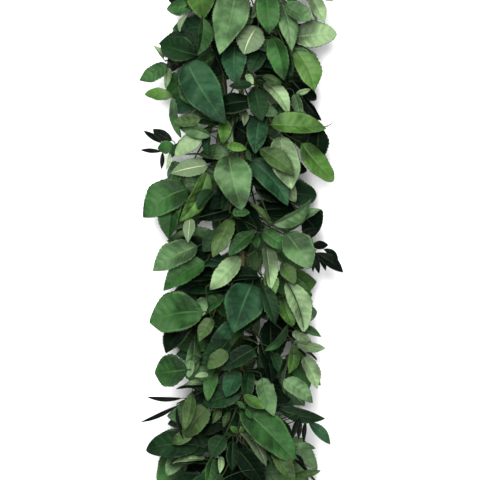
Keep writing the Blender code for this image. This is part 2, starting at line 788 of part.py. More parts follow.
class Layout:
    """The sprays placed so far, with what they cover and what a new one has to keep clear of."""

    def __init__(self):
        self.sprays = []
        self.covered = set()
        self.shown = {}
        self.obstacles = Obstacles()
        self.obstacles.add(loft(tube_rings(wire_path(), WIRE_RADIUS + WIRE_MARGIN, 3)), "wire", "wire")
        self.obstacles.add(loft(rope_rings()), "rope", "rope")

    def keep(self, spray, leaf):
        self.obstacles.add(loft(blade_rings(leaf)), spray.name, "blade")
        if leaf.stalk:
            self.obstacles.add(stalk_solid(leaf.stalk[0][0], leaf), spray.name, "stalk")
        self.covered |= set(cells_of(leaf))
        spray.leaves.append(leaf)

    def add_front(self, spray, rows):
        """A spray whose leaves lie where they show in front."""
        leaves = [make_leaf(row, spray) for row in rows]
        if not self.place_stem(spray, leaves):
            print("no room for the stem of", spray.name)
            return
        reach = (LAST_FOOT - FIRST_FOOT) / (FEET - 1)
        feet = [along_route(spray.route, FIRST_FOOT + reach * k) for k in range(FEET)]
        for leaf in leaves:
            found = clear_leaf(leaf, feet, spray.name, self.obstacles, lift_tries(leaf))
            if found is None:
                print("no room for a leaf of", spray.name, leaf.tone)
                continue
            self.keep(spray, found)
            for cell, height in cells_of(found).items():
                self.shown[cell] = max(height, self.shown.get(cell, 0.0))

    def add_by_rule(self, spray, lean):
        for _ in range(STEM_TRIES):
            end = rule_end(spray, lean)
            tip = end - Vector((0, GUIDE_LENGTH, 0))
            guide = Leaf(end, tip, GUIDE_LENGTH, "broad", "mid", sheet_normal(spray, end.x, end.y), spray.rng)
            if self.place_stem(spray, [guide]):
                self.grow(spray, RULE_LEAVES[spray.family], FEWEST_CELLS)
                if not spray.leaves:
                    self.grow(spray, FEWEST_LEAVES, 0)
                return
        print("no room for the stem of", spray.name)

    def grow(self, spray, count, fewest):
        """Leaves along a stem, each the clear one of its tries that fills the most gaps behind the shown leaves."""
        for _ in range(count):
            tries = []
            for _ in range(RULE_TRIES):
                leaf = rule_leaf(spray)
                if leaf is None:
                    continue
                cells = cells_of(leaf)
                hides = sum(height > self.shown.get(cell, 1.0) for cell, height in cells.items())
                fresh = sum(PLAN_WEIGHT if cell[0] == "plan" else 1 for cell in set(cells) - self.covered)
                tries.append((fresh - HIDE_COST * hides, leaf))
            tries.sort(key=lambda pair: -pair[0])
            for gain, leaf in tries:
                if gain < fewest:
                    break
                if not self.obstacles.touches(loft(blade_rings(leaf, CLEARANCE)), spray.name, "blade"):
                    self.keep(spray, leaf)
                    break

    def place_stem(self, spray, leaves):
        """The nearest free place on the rope, bound length and bulge for which the stem touches nothing."""
        mean_x = sum(leaf.base.x for leaf in leaves) / len(leaves)
        facing = {"front": 0.0, "side": 0.25 if mean_x > 0 else -0.25, "back": 0.5}[spray.family]
        facing += {"front": 2.2, "side": 0.0, "back": -2.2}[spray.family] * mean_x
        slots = sorted(range(SLOTS), key=lambda s: abs((s / SLOTS - facing + 0.5) % 1.0 - 0.5))
        for shift in STEM_SHIFTS:
            for slot in slots[:NEAREST_SLOTS]:
                for bulge in STEM_BULGES:
                    for bound in STEM_BOUNDS:
                        top = min(spray.root_y + shift, TOP_ROOT * STEP)
                        route = stem_route(slot, bound, top, leaves, bulge)
                        mesh = loft(tube_rings(route, STEM_RADIUS + GAP, 4, 0.7))
                        if not self.obstacles.touches(mesh, spray.name, "stem"):
                            spray.route = route
                            self.obstacles.add(loft(stem_rings(spray)), spray.name, "stem")
                            self.sprays.append(spray)
                            return True
        return False


def lay_out():
    """Every spray, placed so that no two touch: front, what fills it from behind, sides and back."""
    layout = Layout()
    fronts = [(min(max(row[1] for row in rows) + ROOT_OFFSET, TOP_ROOT), name, kind, rows)
              for name, kind, rows in FRONT_SPRAYS]
    for number, (root, name, kind, rows) in enumerate(sorted(fronts)):
        layout.add_front(Spray(name, kind, "front", root * STEP, number), rows)
    for spray in list(layout.sprays):
        if spray.kind == "broad":
            layout.grow(spray, FRONT_EXTRAS, FEWEST_CELLS)
    for index, (name, family, root, lean) in enumerate(RULE_SPRAYS):
        layout.add_by_rule(Spray(name, "broad", family, root * STEP, 100 + index), lean)
    return layout.sprays


def wire_path():
    """A helix round the rope and the bound stems."""
    turns = (LENGTH - WIRE_SPARE) / WIRE_PITCH
    count = int(turns * WIRE_TURN_SIDES)
    top = 0.5 * LENGTH - WIRE_END
    path = []
    for k in range(count):
        turn = math.tau * k / WIRE_TURN_SIDES
        path.append(Vector((
            WIRE_RING * math.sin(turn),
            top - WIRE_PITCH * k / WIRE_TURN_SIDES,
            AXIS_HEIGHT + WIRE_RING * math.cos(turn),
        )))
    return path


def rope_rings():
    top, foot = 0.5 * LENGTH, -0.5 * LENGTH + ROPE_FOOT
    return tube_rings((Vector((0, top, AXIS_HEIGHT)), Vector((0, foot, AXIS_HEIGHT))), ROPE_RADIUS, ROPE_SIDES)


def new_object(name, mesh_data):
    points, faces = mesh_data
    mesh = bpy.data.meshes.new(name)
    mesh.from_pydata([tuple(p) for p in points], [], faces)
    mesh.validate()
    made = bpy.data.objects.new(name, mesh)
    bpy.context.scene.collection.objects.link(made)
    return made


def add_material(made, tone):
    material = bpy.data.materials.new(made.name)
    material.use_nodes = True
    shader = material.node_tree.nodes["Principled BSDF"]
    shader.inputs["Base Color"].default_value = (*TONES[tone], 1.0)
    shader.inputs["Roughness"].default_value = 0.5
    made.data.materials.append(material)


def drop_scraps(name, mesh):
    """Keeps the largest body of a joined mesh, which drops loose bits and fills sealed hollows."""
    work = bmesh.new()
    work.from_mesh(mesh)
    bmesh.ops.triangulate(work, faces=work.faces)
    unseen = set(work.verts)
    bodies = []
    while unseen:
        body, edge = set(), [unseen.pop()]
        while edge:
            vert = edge.pop()
            body.add(vert)
            for link in vert.link_edges:
                other = link.other_vert(vert)
                if other in unseen:
                    unseen.discard(other)
                    edge.append(other)
        bodies.append(body)
    bodies.sort(key=len)
    for body in bodies[:-1]:
        faces = {face for vert in body for face in vert.link_faces}
        volume = sum(f.verts[0].co.dot(f.verts[1].co.cross(f.verts[2].co)) for f in faces) / 6
        print(name, "dropped a body of", len(body), "points,", round(volume * 1e9, 2), "mm3")
        bmesh.ops.delete(work, geom=list(body), context="VERTS")
    open_edges = sum(not e.is_manifold for e in work.edges)
    if open_edges:
        print(name, "has", open_edges, "open edges")
    work.to_mesh(mesh)
    work.free()
    return open_edges


def join_spray(spray):
    """One closed body from a stem and its leaves."""
    stem = new_object(spray.name, loft(stem_rings(spray)))
    parts = bpy.data.collections.new(spray.name + "_leaves")
    for k, leaf in enumerate(spray.leaves):
        part = new_object(f"{spray.name}_leaf_{k}", loft(leaf.stalk + blade_rings(leaf)))
        bpy.context.scene.collection.objects.unlink(part)
        parts.objects.link(part)
    union = stem.modifiers.new("join", "BOOLEAN")
    union.operation = "UNION"
    union.operand_type = "COLLECTION"
    union.collection = parts
    for solver in ("EXACT", "MANIFOLD"):
        union.solver = solver
        graph = bpy.context.evaluated_depsgraph_get()
        joined = bpy.data.meshes.new_from_object(stem.evaluated_get(graph))
        if not drop_scraps(spray.name + " " + solver, joined):
            break
    stem.modifiers.clear()
    stem.data = joined
    for part in list(parts.objects):
        bpy.data.objects.remove(part)
    bpy.data.collections.remove(parts)
    tones = [leaf.tone for leaf in spray.leaves if leaf.tone != "twig"]
    add_material(stem, max(sorted(set(tones)), key=tones.count))
    return stem


def stand_on_floor(pieces):
    """Moves the garland until the origin is the middle of its box's base."""
    points = [vert.co for piece in pieces for vert in piece.data.vertices]
    low = [min(point[k] for point in points) for k in range(3)]
    high = [max(point[k] for point in points) for k in range(3)]
    move = Matrix.Translation((-0.5 * (low[0] + high[0]), -0.5 * (low[1] + high[1]), -low[2]))
    for piece in pieces:
        piece.data.transform(move)


def main():
    for old in list(bpy.data.objects):
        bpy.data.objects.remove(old)
    rope = new_object("core_rope", loft(rope_rings()))
    add_material(rope, "olive")
    wire = new_object("binding_wire", loft(tube_rings(wire_path(), WIRE_RADIUS, 3)))
    add_material(wire, "mid")
    for round_piece in (rope, wire):
        round_piece.data.shade_smooth()
        round_piece.data.set_sharp_from_angle(angle=SHARP_ANGLE)
    sprays = lay_out()
    pieces = [join_spray(spray) for spray in sprays]
    stand_on_floor([rope, wire] + pieces)
    total = sum(len(piece.data.polygons) for piece in pieces)
    print(len(sprays), "sprays", sum(len(spray.leaves) for spray in sprays), "leaves", total, "triangles")


main()
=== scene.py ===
"""Looks of the foliage garland: veined and toothed leaves, their stems, a twisted rope and its binding wire.

The leaves are laid out by the same rules and seeded draws as the part's own solids, so each fine leaf
lies where its solid does. Each spray's fine piece stands for the node of the same name.
"""
import json
import math
import random

import bpy
import numpy as np
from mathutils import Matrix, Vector
from mathutils.bvhtree import BVHTree


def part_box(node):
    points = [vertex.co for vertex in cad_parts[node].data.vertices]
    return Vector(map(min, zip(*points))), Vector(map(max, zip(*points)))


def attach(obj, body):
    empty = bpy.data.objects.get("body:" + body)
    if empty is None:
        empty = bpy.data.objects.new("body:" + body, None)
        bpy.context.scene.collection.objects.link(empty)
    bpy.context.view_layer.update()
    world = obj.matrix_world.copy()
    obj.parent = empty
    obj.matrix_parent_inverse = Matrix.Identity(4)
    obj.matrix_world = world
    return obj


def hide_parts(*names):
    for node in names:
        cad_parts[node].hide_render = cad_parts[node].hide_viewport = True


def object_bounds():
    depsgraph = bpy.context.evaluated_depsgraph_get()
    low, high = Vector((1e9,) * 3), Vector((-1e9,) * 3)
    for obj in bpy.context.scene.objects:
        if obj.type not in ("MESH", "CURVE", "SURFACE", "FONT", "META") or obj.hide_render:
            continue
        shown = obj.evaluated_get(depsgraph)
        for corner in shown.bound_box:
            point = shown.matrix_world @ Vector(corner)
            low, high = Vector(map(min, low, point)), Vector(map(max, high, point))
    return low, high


bl_info = {
    "name": "Foliage garland",
    "version": (1, 0, 0),
    "blender": (4, 5, 0),
    "location": "View3D > Sidebar > Garland",
    "description": "Dresses the garland's packed solids with fine leaves, stems, rope and wire",
    "category": "Object",
}

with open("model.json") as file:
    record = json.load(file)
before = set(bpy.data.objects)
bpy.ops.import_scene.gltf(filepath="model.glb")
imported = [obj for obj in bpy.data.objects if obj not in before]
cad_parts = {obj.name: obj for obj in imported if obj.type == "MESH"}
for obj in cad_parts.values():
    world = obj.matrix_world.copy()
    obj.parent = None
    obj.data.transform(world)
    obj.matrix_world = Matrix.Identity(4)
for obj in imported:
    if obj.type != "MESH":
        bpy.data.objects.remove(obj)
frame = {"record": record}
CAD_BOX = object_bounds()
SLOT_OF = {entry["node"]: entry["material_slot"] for entry in frame["record"]["subparts"]}

# Driving dimensions in metres, as in the part's own source. A step is one unit of the traced rows.
LENGTH = 0.914
STEP = 0.00155
AXIS_HEIGHT = 0.056
HALF_SPREAD = 0.168
MOST_SPREAD = 1.1
SHEET_SLOPE = 0.40
REAR_SLOPE = 0.36
SHEET_START = 0.022
SHEET_RISE = 0.006
NORMAL_REACH = 0.002

ROPE_RADIUS = 0.004
STEM_RADIUS = 0.0014
STALK_RADIUS = 0.0009
WIRE_RADIUS = 0.0006
WIRE_PITCH = 0.042
WIRE_TURN_SIDES = 8
GAP = 0.0003

STEM_RING = ROPE_RADIUS + STEM_RADIUS + GAP
WIRE_RING = 0.0088
RIB_THICKNESS = 0.0013
CLEARANCE = 0.0004
ROOT_OFFSET = 40
TOP_ROOT = 0.5 * LENGTH / STEP - 3
SLOTS = 10
FACING_TURN = 2.2
STEM_SHIFTS = (0.0, 0.006, -0.006, 0.012, 0.020, -0.014, 0.030, -0.024, 0.040, -0.036, 0.052)
STEM_BULGES = (0.0, -0.005, 0.005, -0.010, 0.010, 0.016)
STEM_BOUNDS = (0.034, 0.026, 0.042, 0.020, 0.050)
NEAREST_SLOTS = 7
STEM_TUCK = 0.002
STEM_SHORT = 0.004
KNEE_DROP = 0.010
KNEE_SHARE = 0.35
ROUTE_SHARES = (0.3, 0.6, 0.82, 1.0)
SIDEWAYS_WEIGHT = 0.3
STEM_TAPER = 0.7
FIRST_FOOT = 0.30
LAST_FOOT = 0.97
FEET = 17
NEAREST_FEET = 6
LEAST_STALK = 0.003
ELBOW_REACH = 0.030
ELBOW_TURN = 0.8
ELBOW_BACK = 0.010
ELBOW_SHARE = 0.4
TURN_COST = 0.018
LIFT_STEP = 0.0016
LIFTS = 17
FULL_LIFTS = 5
LIFT_SHARES = (0.45, 1.0)
ROPE_FOOT = 0.030
ROPE_SIDES = 8
WIRE_END = 0.018
WIRE_SPARE = 0.100
WIRE_MARGIN = 0.0001
SHARP_ANGLE = math.radians(50)
SEED = 41
SEED_STEP = 1000
FIRST_RULE_NUMBER = 100
SIDE_SLOPE = 0.10
STRAND_OFFSET = 0.0019
LEAF_HEIGHT = 0.09
CAMERA_OFFSET = -2

# A leaf's row is the x and y of its base, the x and y of its tip and its width as seen from the front,
# in layout steps from the middle of the garland, and its tone.
FRONT_SPRAYS = (
    ("top_left", "broad", (
        (-42, 268, -39, 220, 32, "bright"), (-39, 222, -44, 183, 12, "mid"),
        (-54, 225, -62, 208, 8, "under"),
    )),
    ("top_middle", "broad", (
        (2, 262, -1, 232, 14, "bright"), (18, 248, 9, 221, 13, "pale"), (23, 245, 26, 202, 26, "mid"),
        (16, 213, 2, 184, 29, "under"), (-6, 246, -22, 182, 38, "sage"),
    )),
    ("top_right", "broad", (
        (30, 202, 42, 158, 18, "mid"), (42, 194, 50, 162, 9, "dark"), (36, 246, 49, 188, 24, "sage"),
        (42, 235, 70, 220, 20, "sage"),
    )),
    ("top_right_edge", "broad", (
        (53, 190, 72, 149, 28, "bright"), (49, 203, 96, 208, 30, "pale"),
    )),
    ("top_right_corner", "broad", (
        (66, 252, 83, 218, 18, "pale"), (74, 248, 91, 240, 10, "pale"), (40, 262, 52, 236, 20, "mid"),
    )),
    ("upper_left_edge", "broad", (
        (-42, 195, -84, 198, 30, "dark"), (-65, 178, -71, 191, 4, "olive"), (-79, 182, -89, 196, 5, "pale"),
        (-45, 185, -82, 198, 28, "dark"),
    )),
    ("upper_left", "broad", (
        (-74, 174, -77, 152, 6, "pale"), (-74, 176, -102, 160, 18, "mid"),
        (-55, 178, -61, 147, 16, "olive"), (-55, 178, -16, 114, 40, "blue"),
    )),
    ("upper_middle", "broad", (
        (20, 190, 8, 166, 20, "dark"), (-6, 200, -6, 156, 26, "blue"), (5, 166, 11, 152, 8, "pale"),
        (10, 154, -13, 152, 10, "dark"), (20, 164, 40, 156, 10, "olive"),
    )),
    ("left_shoulder", "broad", (
        (-61, 154, -53, 136, 9, "bright"), (-70, 144, -61, 102, 14, "mid"),
        (-70, 144, -98, 147, 13, "bright"), (-39, 119, -67, 116, 13, "olive"),
    )),
    ("right_shoulder", "broad", (
        (13, 152, 20, 118, 22, "dark"), (20, 132, 36, 125, 12, "sage"), (22, 158, 47, 124, 18, "pale"),
        (52, 147, 59, 122, 10, "sage"),
    )),
    ("right_shoulder_edge", "broad", (
        (61, 143, 80, 120, 7, "black"), (54, 147, 69, 152, 5, "pale"), (28, 115, 85, 112, 26, "bright"),
        (84, 114, 93, 120, 3, "twig"),
    )),
    ("dark_sprig_left", "narrow", (
        (-70, 100, -90, 112, 12, "black"), (-80, 97, -99, 110, 6, "black"), (-81, 89, -103, 91, 5, "black"),
        (-80, 88, -81, 71, 5, "black"), (-68, 95, -85, 92, 14, "mid"), (-72, 90, -76, 70, 4, "pale"),
        (-64, 97, -70, 82, 8, "dark"),
    )),
    ("left_middle", "broad", (
        (-39, 108, -67, 84, 20, "pale"), (-31, 110, -32, 83, 9, "dark"), (-30, 102, -64, 114, 12, "sage"),
        (-32, 82, -58, 85, 6, "mid"),
    )),
    ("centre_narrow", "broad", (
        (-8, 120, -8, 92, 5, "under"), (2, 130, 2, 114, 8, "under"), (-18, 122, -19, 96, 14, "bright"),
        (-16, 94, 5, 90, 9, "bright"),
    )),
    ("right_middle", "broad", (
        (38, 104, 49, 50, 34, "pale"), (20, 128, 13, 86, 22, "blue"), (16, 88, 50, 62, 20, "olive"),
        (5, 90, 10, 78, 5, "mid"), (59, 97, 92, 59, 27, "bright"),
    )),
    ("centre_hero", "broad", (
        (-10, 27, 8, 27, 12, "mid"), (8, 80, 46, 34, 30, "blue"), (-13, 85, 0, 29, 38, "sage"),
    )),
    ("left_silver", "broad", (
        (-29, 50, -44, 30, 14, "dark"), (-35, 68, -63, 18, 16, "bright"), (-34, 75, -72, 67, 20, "under"),
    )),
    ("left_waist", "broad", (
        (-52, 22, -54, -3, 13, "under"), (-61, 48, -73, 0, 25, "mid"), (-53, 51, -99, 22, 38, "mid"),
    )),
    ("centre_waist", "broad", (
        (-20, 10, -39, -12, 20, "dark"), (12, 8, -13, -16, 17, "mid"), (-10, 22, -29, -18, 18, "olive"),
        (-10, 31, -49, 21, 4, "twig"),
    )),
    ("right_waist_inner", "broad", (
        (8, 37, 29, 12, 10, "olive"), (28, 64, 54, 38, 20, "under"), (31, 16, 69, 41, 15, "sage"),
    )),
    ("right_waist", "broad", (
        (15, 4, 15, -9, 8, "mid"), (21, 10, 47, -10, 18, "mid"), (48, 9, 80, 31, 13, "sage"),
        (43, 7, 68, -30, 32, "sage"),
    )),
    ("dark_sprig_right", "narrow", (
        (50, 8, 76, -18, 3, "twig"), (58, 2, 78, 10, 11, "black"), (70, -6, 87, -5, 9, "black"),
        (82, -9, 97, -20, 7, "black"), (74, -13, 102, -33, 13, "black"), (77, -17, 84, -31, 6, "black"),
        (72, -12, 77, -34, 8, "black"), (67, -8, 70, -33, 7, "black"),
    )),
    ("left_hip", "broad", (
        (-37, -22, -79, -51, 26, "mid"), (-43, -8, -88, -33, 29, "sage"),
    )),
    ("centre_hip", "broad", (
        (10, -44, -8, -92, 42, "blue"), (-2, -16, -32, -50, 22, "pale"), (-36, -50, -28, -85, 3, "twig"),
    )),
    ("right_hip_inner", "broad", (
        (40, -22, 53, -44, 16, "olive"), (26, -28, 28, -60, 16, "bright"), (24, -7, 28, -52, 13, "pale"),
        (20, -46, 32, -86, 18, "dark"),
    )),
    ("left_hero", "broad", (
        (-30, -78, -43, -102, 16, "olive"), (-36, -58, -54, -81, 17, "sage"),
        (-38, -73, -92, -84, 44, "mid"),
    )),
    ("right_hip", "broad", (
        (45, -86, 22, -110, 10, "mid"), (42, -59, 51, -86, 17, "bright"), (44, -42, 62, -92, 26, "pale"),
        (36, -32, 61, -88, 3, "twig"),
    )),
    ("centre_low", "broad", (
        (30, -112, 36, -132, 11, "dark"), (13, -108, -20, -130, 20, "dark"),
        (-14, -100, -38, -126, 24, "dark"), (-14, -112, -34, -130, 18, "olive"),
        (28, -73, -11, -107, 14, "mid"), (-33, -134, -47, -136, 6, "pale"),
    )),
    ("right_low_edge", "broad", (
        (50, -92, 71, -106, 10, "pale"), (54, -103, 84, -109, 10, "pale"), (51, -88, 80, -98, 13, "mid"),
    )),
    ("left_low", "broad", (
        (-48, -100, -56, -139, 13, "sage"), (-62, -120, -64, -138, 8, "olive"),
        (-49, -121, -52, -139, 11, "sage"), (-52, -131, -85, -135, 34, "mid"),
    )),
    ("centre_small", "broad", (
        (-4, -130, -16, -157, 20, "blue"), (-38, -144, -59, -146, 7, "pale"),
        (-39, -149, -66, -150, 8, "dark"), (-27, -128, -34, -161, 15, "mid"),
    )),
    ("right_low", "broad", (
        (41, -140, 71, -163, 20, "sage"), (63, -120, 79, -146, 10, "olive"),
        (60, -118, 74, -150, 18, "pale"), (51, -103, 46, -134, 14, "bright"),
    )),
    ("lower_centre", "broad", (
        (8, -132, 5, -162, 14, "dark"), (1, -156, 23, -170, 6, "bright"), (3, -168, -5, -161, 5, "mid"),
        (4, -168, 10, -178, 5, "mid"), (20, -138, 32, -176, 21, "sage"),
    )),
    ("dark_sprig_low_left", "narrow", (
        (-49, -154, -56, -192, 14, "olive"), (-60, -159, -97, -158, 5, "black"),
        (-64, -166, -103, -184, 5, "black"), (-65, -167, -58, -200, 4, "black"),
    )),
    ("lower_left", "broad", (
        (-47, -190, -71, -204, 14, "olive"), (-23, -164, -30, -184, 8, "olive"),
        (-34, -168, -56, -198, 28, "olive"),
    )),
    ("lower_left_hero", "broad", (
        (-36, -224, -74, -227, 11, "dark"), (-36, -220, -70, -225, 12, "pale"),
        (-42, -207, -97, -212, 30, "dark"),
    )),
    ("lower_star", "broad", (
        (-28, -215, -35, -245, 10, "mid"), (-21, -215, -22, -232, 7, "pale"),
        (-9, -200, -10, -230, 14, "dark"), (-17, -196, -29, -218, 20, "dark"),
        (-2, -190, 24, -226, 18, "under"), (-12, -172, -18, -188, 8, "olive"),
        (-4, -193, -12, -187, 6, "bright"), (-3, -193, 5, -187, 6, "bright"),
    )),
    ("lower_right_hero", "broad", (
        (28, -212, 50, -245, 18, "olive"), (26, -206, 43, -229, 20, "dark"),
        (-1, -169, 51, -222, 38, "mid"), (-20, -238, 13, -228, 3, "twig"),
    )),
    ("dark_sprig_low_right", "narrow", (
        (34, -168, 84, -180, 15, "dark"), (67, -183, 89, -206, 12, "blue"),
        (64, -182, 62, -204, 5, "black"), (57, -178, 56, -200, 6, "black"),
        (55, -180, 48, -201, 6, "black"), (51, -206, 74, -209, 8, "sage"), (53, -214, 62, -225, 4, "black"),
        (45, -235, 79, -231, 8, "olive"),
    )),
)

# A spray placed by rule: its side of the rope, the step at which its stem is cut, and its lean
RULE_SPRAYS = (
    ("end_left", "front", -182, -0.55),
    ("end_right", "front", -194, 0.55),
    ("end_middle", "front", -206, 0.10),
    ("side_left_1", "side", 264, -1.0),
    ("side_left_2", "side", 150, -1.0),
    ("side_left_3", "side", 20, -1.0),
    ("side_left_4", "side", -120, -1.0),
    ("side_right_1", "side", 256, 1.0),
    ("side_right_2", "side", 132, 1.0),
    ("side_right_3", "side", -2, 1.0),
    ("side_right_4", "side", -136, 1.0),
    ("back_1", "back", 276, -0.45),
    ("back_2", "back", 224, 0.45),
    ("back_3", "back", 162, -0.45),
    ("back_4", "back", 100, 0.45),
    ("back_5", "back", 38, -0.45),
    ("back_6", "back", -24, 0.45),
    ("back_7", "back", -86, -0.45),
    ("back_8", "back", -150, 0.45),
)
# Tones of the leaves placed by rule. The near-black green among them is painted shade, for leaves that lie
# behind others
RULE_TONES = {
    "front": ("deep", "blue", "deep", "mid", "dark", "deep", "sage"),
    "side": ("mid", "dark", "sage", "mid", "blue", "mid", "bright", "deep"),
    "back": ("mid", "dark", "under", "mid", "blue", "under", "olive", "dark"),
}
RULE_SIZES = (34, 62)
RULE_WIDTHS = (0.50, 0.64)
RULE_LEAVES = {"front": 9, "side": 10, "back": 11}
STEM_TRIES = 8
RULE_REACH = {"front": 44, "side": 52, "back": 50}
RULE_RUN = {"front": 62, "side": 84, "back": 104}
RULE_RISE = {"front": (-0.026, 0.006), "side": (-0.030, 0.030), "back": (-0.020, 0.026)}
RULE_ROLL = {"front": 0.45, "side": 0.9, "back": 0.5}
RULE_EDGE = 76
LEAF_TURNS = (0.15, 1.5)
RULE_TURN = 1.6
END_MARGIN = 0.004
RULE_TRIES = 44
PLAN_WEIGHT = 3
FEWEST_CELLS = 22
FEWEST_LEAVES = 3
FRONT_EXTRAS = 3
CELL = 0.006
CELL_ROWS = 10
CELL_PLACES = (-0.9, -0.45, 0.0, 0.45, 0.9)
FLOOR_MARGIN = 0.004
FLOOR_TRIES = 8
FLOOR_LIFT = 1.5
FLOOR_ARCH = 0.7
MOST_HEIGHT = 0.124
FOOT_STEPS = (6, 24)
REACH_SPREAD = (0.8, 1.15)
RUN_SPREAD = (0.85, 1.08)
LAST_STEM_END = -0.5 * LENGTH + 0.045
END_RISE = 0.012
GUIDE_LENGTH = 0.03
ROUTE_LOOK = 0.05
SIDE_START = 0.02
HIDE_COST = 3.0

# A blade's form: its least width and its arch and bend as shares of its length, the angle of its fold,
# and its waves as shares of its width
LEAST_WIDTHS = (0.40, 0.50)
ARCHES = (0.03, 0.11)
BEND = 0.07
FOLDS = (0.12, 0.50)
WAVES = (0.012, 0.032)
WAVE_TURNS = 9.5
WAVE_OFFSET = 2.1
LEAST_BELLY = 0.78
BELLY_SPREAD = 0.03
MOST_POINT = 0.34
POINT_SPREAD = 0.05
TWIG_TAPER = 0.5
NARROW_SKEW = 0.9
NARROW_FULLNESS = 0.85
BROAD_FULLNESS = 0.60
MOST_TILT = 1.0
ROLL_SPREAD = 0.12

# Places along a blade where the solid has a section, and the lengths from which a blade has more of them
BROAD_SECTIONS = (0.11, 0.36, 0.64, 0.88)
MIDDLE_SECTIONS = (0.17, 0.50, 0.83)
SMALL_SECTIONS = (0.26, 0.72)
NARROW_SECTIONS = (0.25, 0.65)
LONG_BLADE = 0.075
LONG_SESSILE = 0.085
MIDDLE_BLADE = 0.042


class Leaf:
    """One leaf or twig: where its blade lies and how the blade is bent."""

    def __init__(self, base, tip, width, kind, tone, hint, rng):
        span = (tip - base).length
        self.base = base
        self.tip = tip
        self.kind = kind
        self.tone = tone
        self.hint = hint
        self.seen_width = width
        self.width = width
        self.tilt = 0.0
        if kind == "broad":
            self.width = max(width, rng.uniform(*LEAST_WIDTHS) * span)
            self.tilt = min(math.acos(min(1.0, width / self.width)), MOST_TILT) * rng.choice((-1, 1))
        self.roll = self.tilt + rng.uniform(-ROLL_SPREAD, ROLL_SPREAD)
        self.arch = rng.uniform(*ARCHES) * span
        self.bend = rng.uniform(-BEND, BEND) * span
        self.fold = rng.uniform(*FOLDS)
        self.wave = rng.uniform(*WAVES) * self.width
        self.phase = rng.uniform(0.0, math.tau)
        self.belly = LEAST_BELLY + BELLY_SPREAD * self.phase
        self.point = MOST_POINT - POINT_SPREAD * self.phase
        self.stalk = []
        self.sessile = False
        if kind == "twig":
            self.fold = 0.0
            self.wave = 0.0

    def moved(self, base_lift, tip_lift, roll):
        """A copy raised along its hint, by one height at the base and another at the tip."""
        other = object.__new__(Leaf)
        other.__dict__.update(self.__dict__)
        other.base = self.base + self.hint * base_lift
        other.tip = self.tip + self.hint * tip_lift
        other.roll = roll
        return other


class Spray:
    """A stem with its leaves, the side of the rope it lies on and where its stem is cut."""

    def __init__(self, name, kind, family, root_y, number):
        self.name = name
        self.kind = kind
        self.family = family
        self.root_y = min(root_y, TOP_ROOT * STEP)
        self.rng = random.Random(SEED * SEED_STEP + number)
        self.slope = self.rng.uniform(-SIDE_SLOPE, SIDE_SLOPE)
        self.route = []
        self.leaves = []


def outline(leaf, t):
    """Half-width of a blade at t along it, as a share of its greatest half-width."""
    if leaf.kind == "twig":
        return 1.0 - TWIG_TAPER * t
    if leaf.kind == "narrow":
        return math.sin(math.pi * t ** NARROW_SKEW) ** NARROW_FULLNESS
    return max(math.sin(math.pi * t ** leaf.belly), 0.0) ** (BROAD_FULLNESS + leaf.point * t * t)


def blade_frame(leaf):
    """The blade's direction, its side and its upper normal, before it is rolled."""
    along = (leaf.tip - leaf.base).normalized()
    normal = (leaf.hint - along * leaf.hint.dot(along)).normalized()
    return along, along.cross(normal), normal


def blade_point(leaf, t, across):
    """The point of the blade's middle surface at t along it and -1 to 1 across it, with its normal."""
    _, side, normal = blade_frame(leaf)
    cos, sin = math.cos(leaf.roll), math.sin(leaf.roll)
    up = normal * cos + side * sin
    out = side * cos - normal * sin
    bow = 4.0 * t * (1.0 - t)
    half = 0.5 * leaf.width * outline(leaf, t)
    ripple = leaf.wave * math.sin(WAVE_TURNS * t + leaf.phase + WAVE_OFFSET * (across > 0))
    reach = half * across
    rise = abs(reach) * math.sin(leaf.fold) + ripple * abs(across)
    centre = leaf.base.lerp(leaf.tip, t) + up * (leaf.arch * bow) + out * (leaf.bend * bow)
    return centre + out * (reach * math.cos(leaf.fold)) + up * rise, up


def sections_of(leaf):
    """Places of a blade's sections, more of them for a longer blade."""
    if leaf.kind in ("narrow", "twig"):
        return NARROW_SECTIONS
    span = (leaf.tip - leaf.base).length
    if leaf.sessile:
        return MIDDLE_SECTIONS if span > LONG_SESSILE else SMALL_SECTIONS
    if span > LONG_BLADE:
        return BROAD_SECTIONS
    return MIDDLE_SECTIONS if span > MIDDLE_BLADE else SMALL_SECTIONS


def blade_rings(leaf, grown=0.0):
    """The blade's sections from its stalk to its tip, thickened by grown for the clearance test."""
    rings = []
    along, _, _ = blade_frame(leaf)
    if leaf.sessile:
        rings.append([leaf.base])
    for t in sections_of(leaf) if leaf.sessile else (0.0,) + sections_of(leaf):
        middle, up = blade_point(leaf, t, 0.0)
        left, _ = blade_point(leaf, t, -1.0)
        right, _ = blade_point(leaf, t, 1.0)
        out = (right - left).normalized() if t else along.cross(up)
        if leaf.kind == "twig" or not t:
            left, right = middle - out * STALK_RADIUS, middle + out * STALK_RADIUS
        half = 0.5 * RIB_THICKNESS + grown
        if grown:
            left, right = left - out * grown, right + out * grown
            rings.append([
                left - up * grown, left + up * grown, middle + up * half,
                right + up * grown, right - up * grown, middle - up * half,
            ])
        else:
            rings.append([left, middle + up * half, right, middle - up * half])
    end, _ = blade_point(leaf, 1.0, 0.0)
    return rings + [[end]]


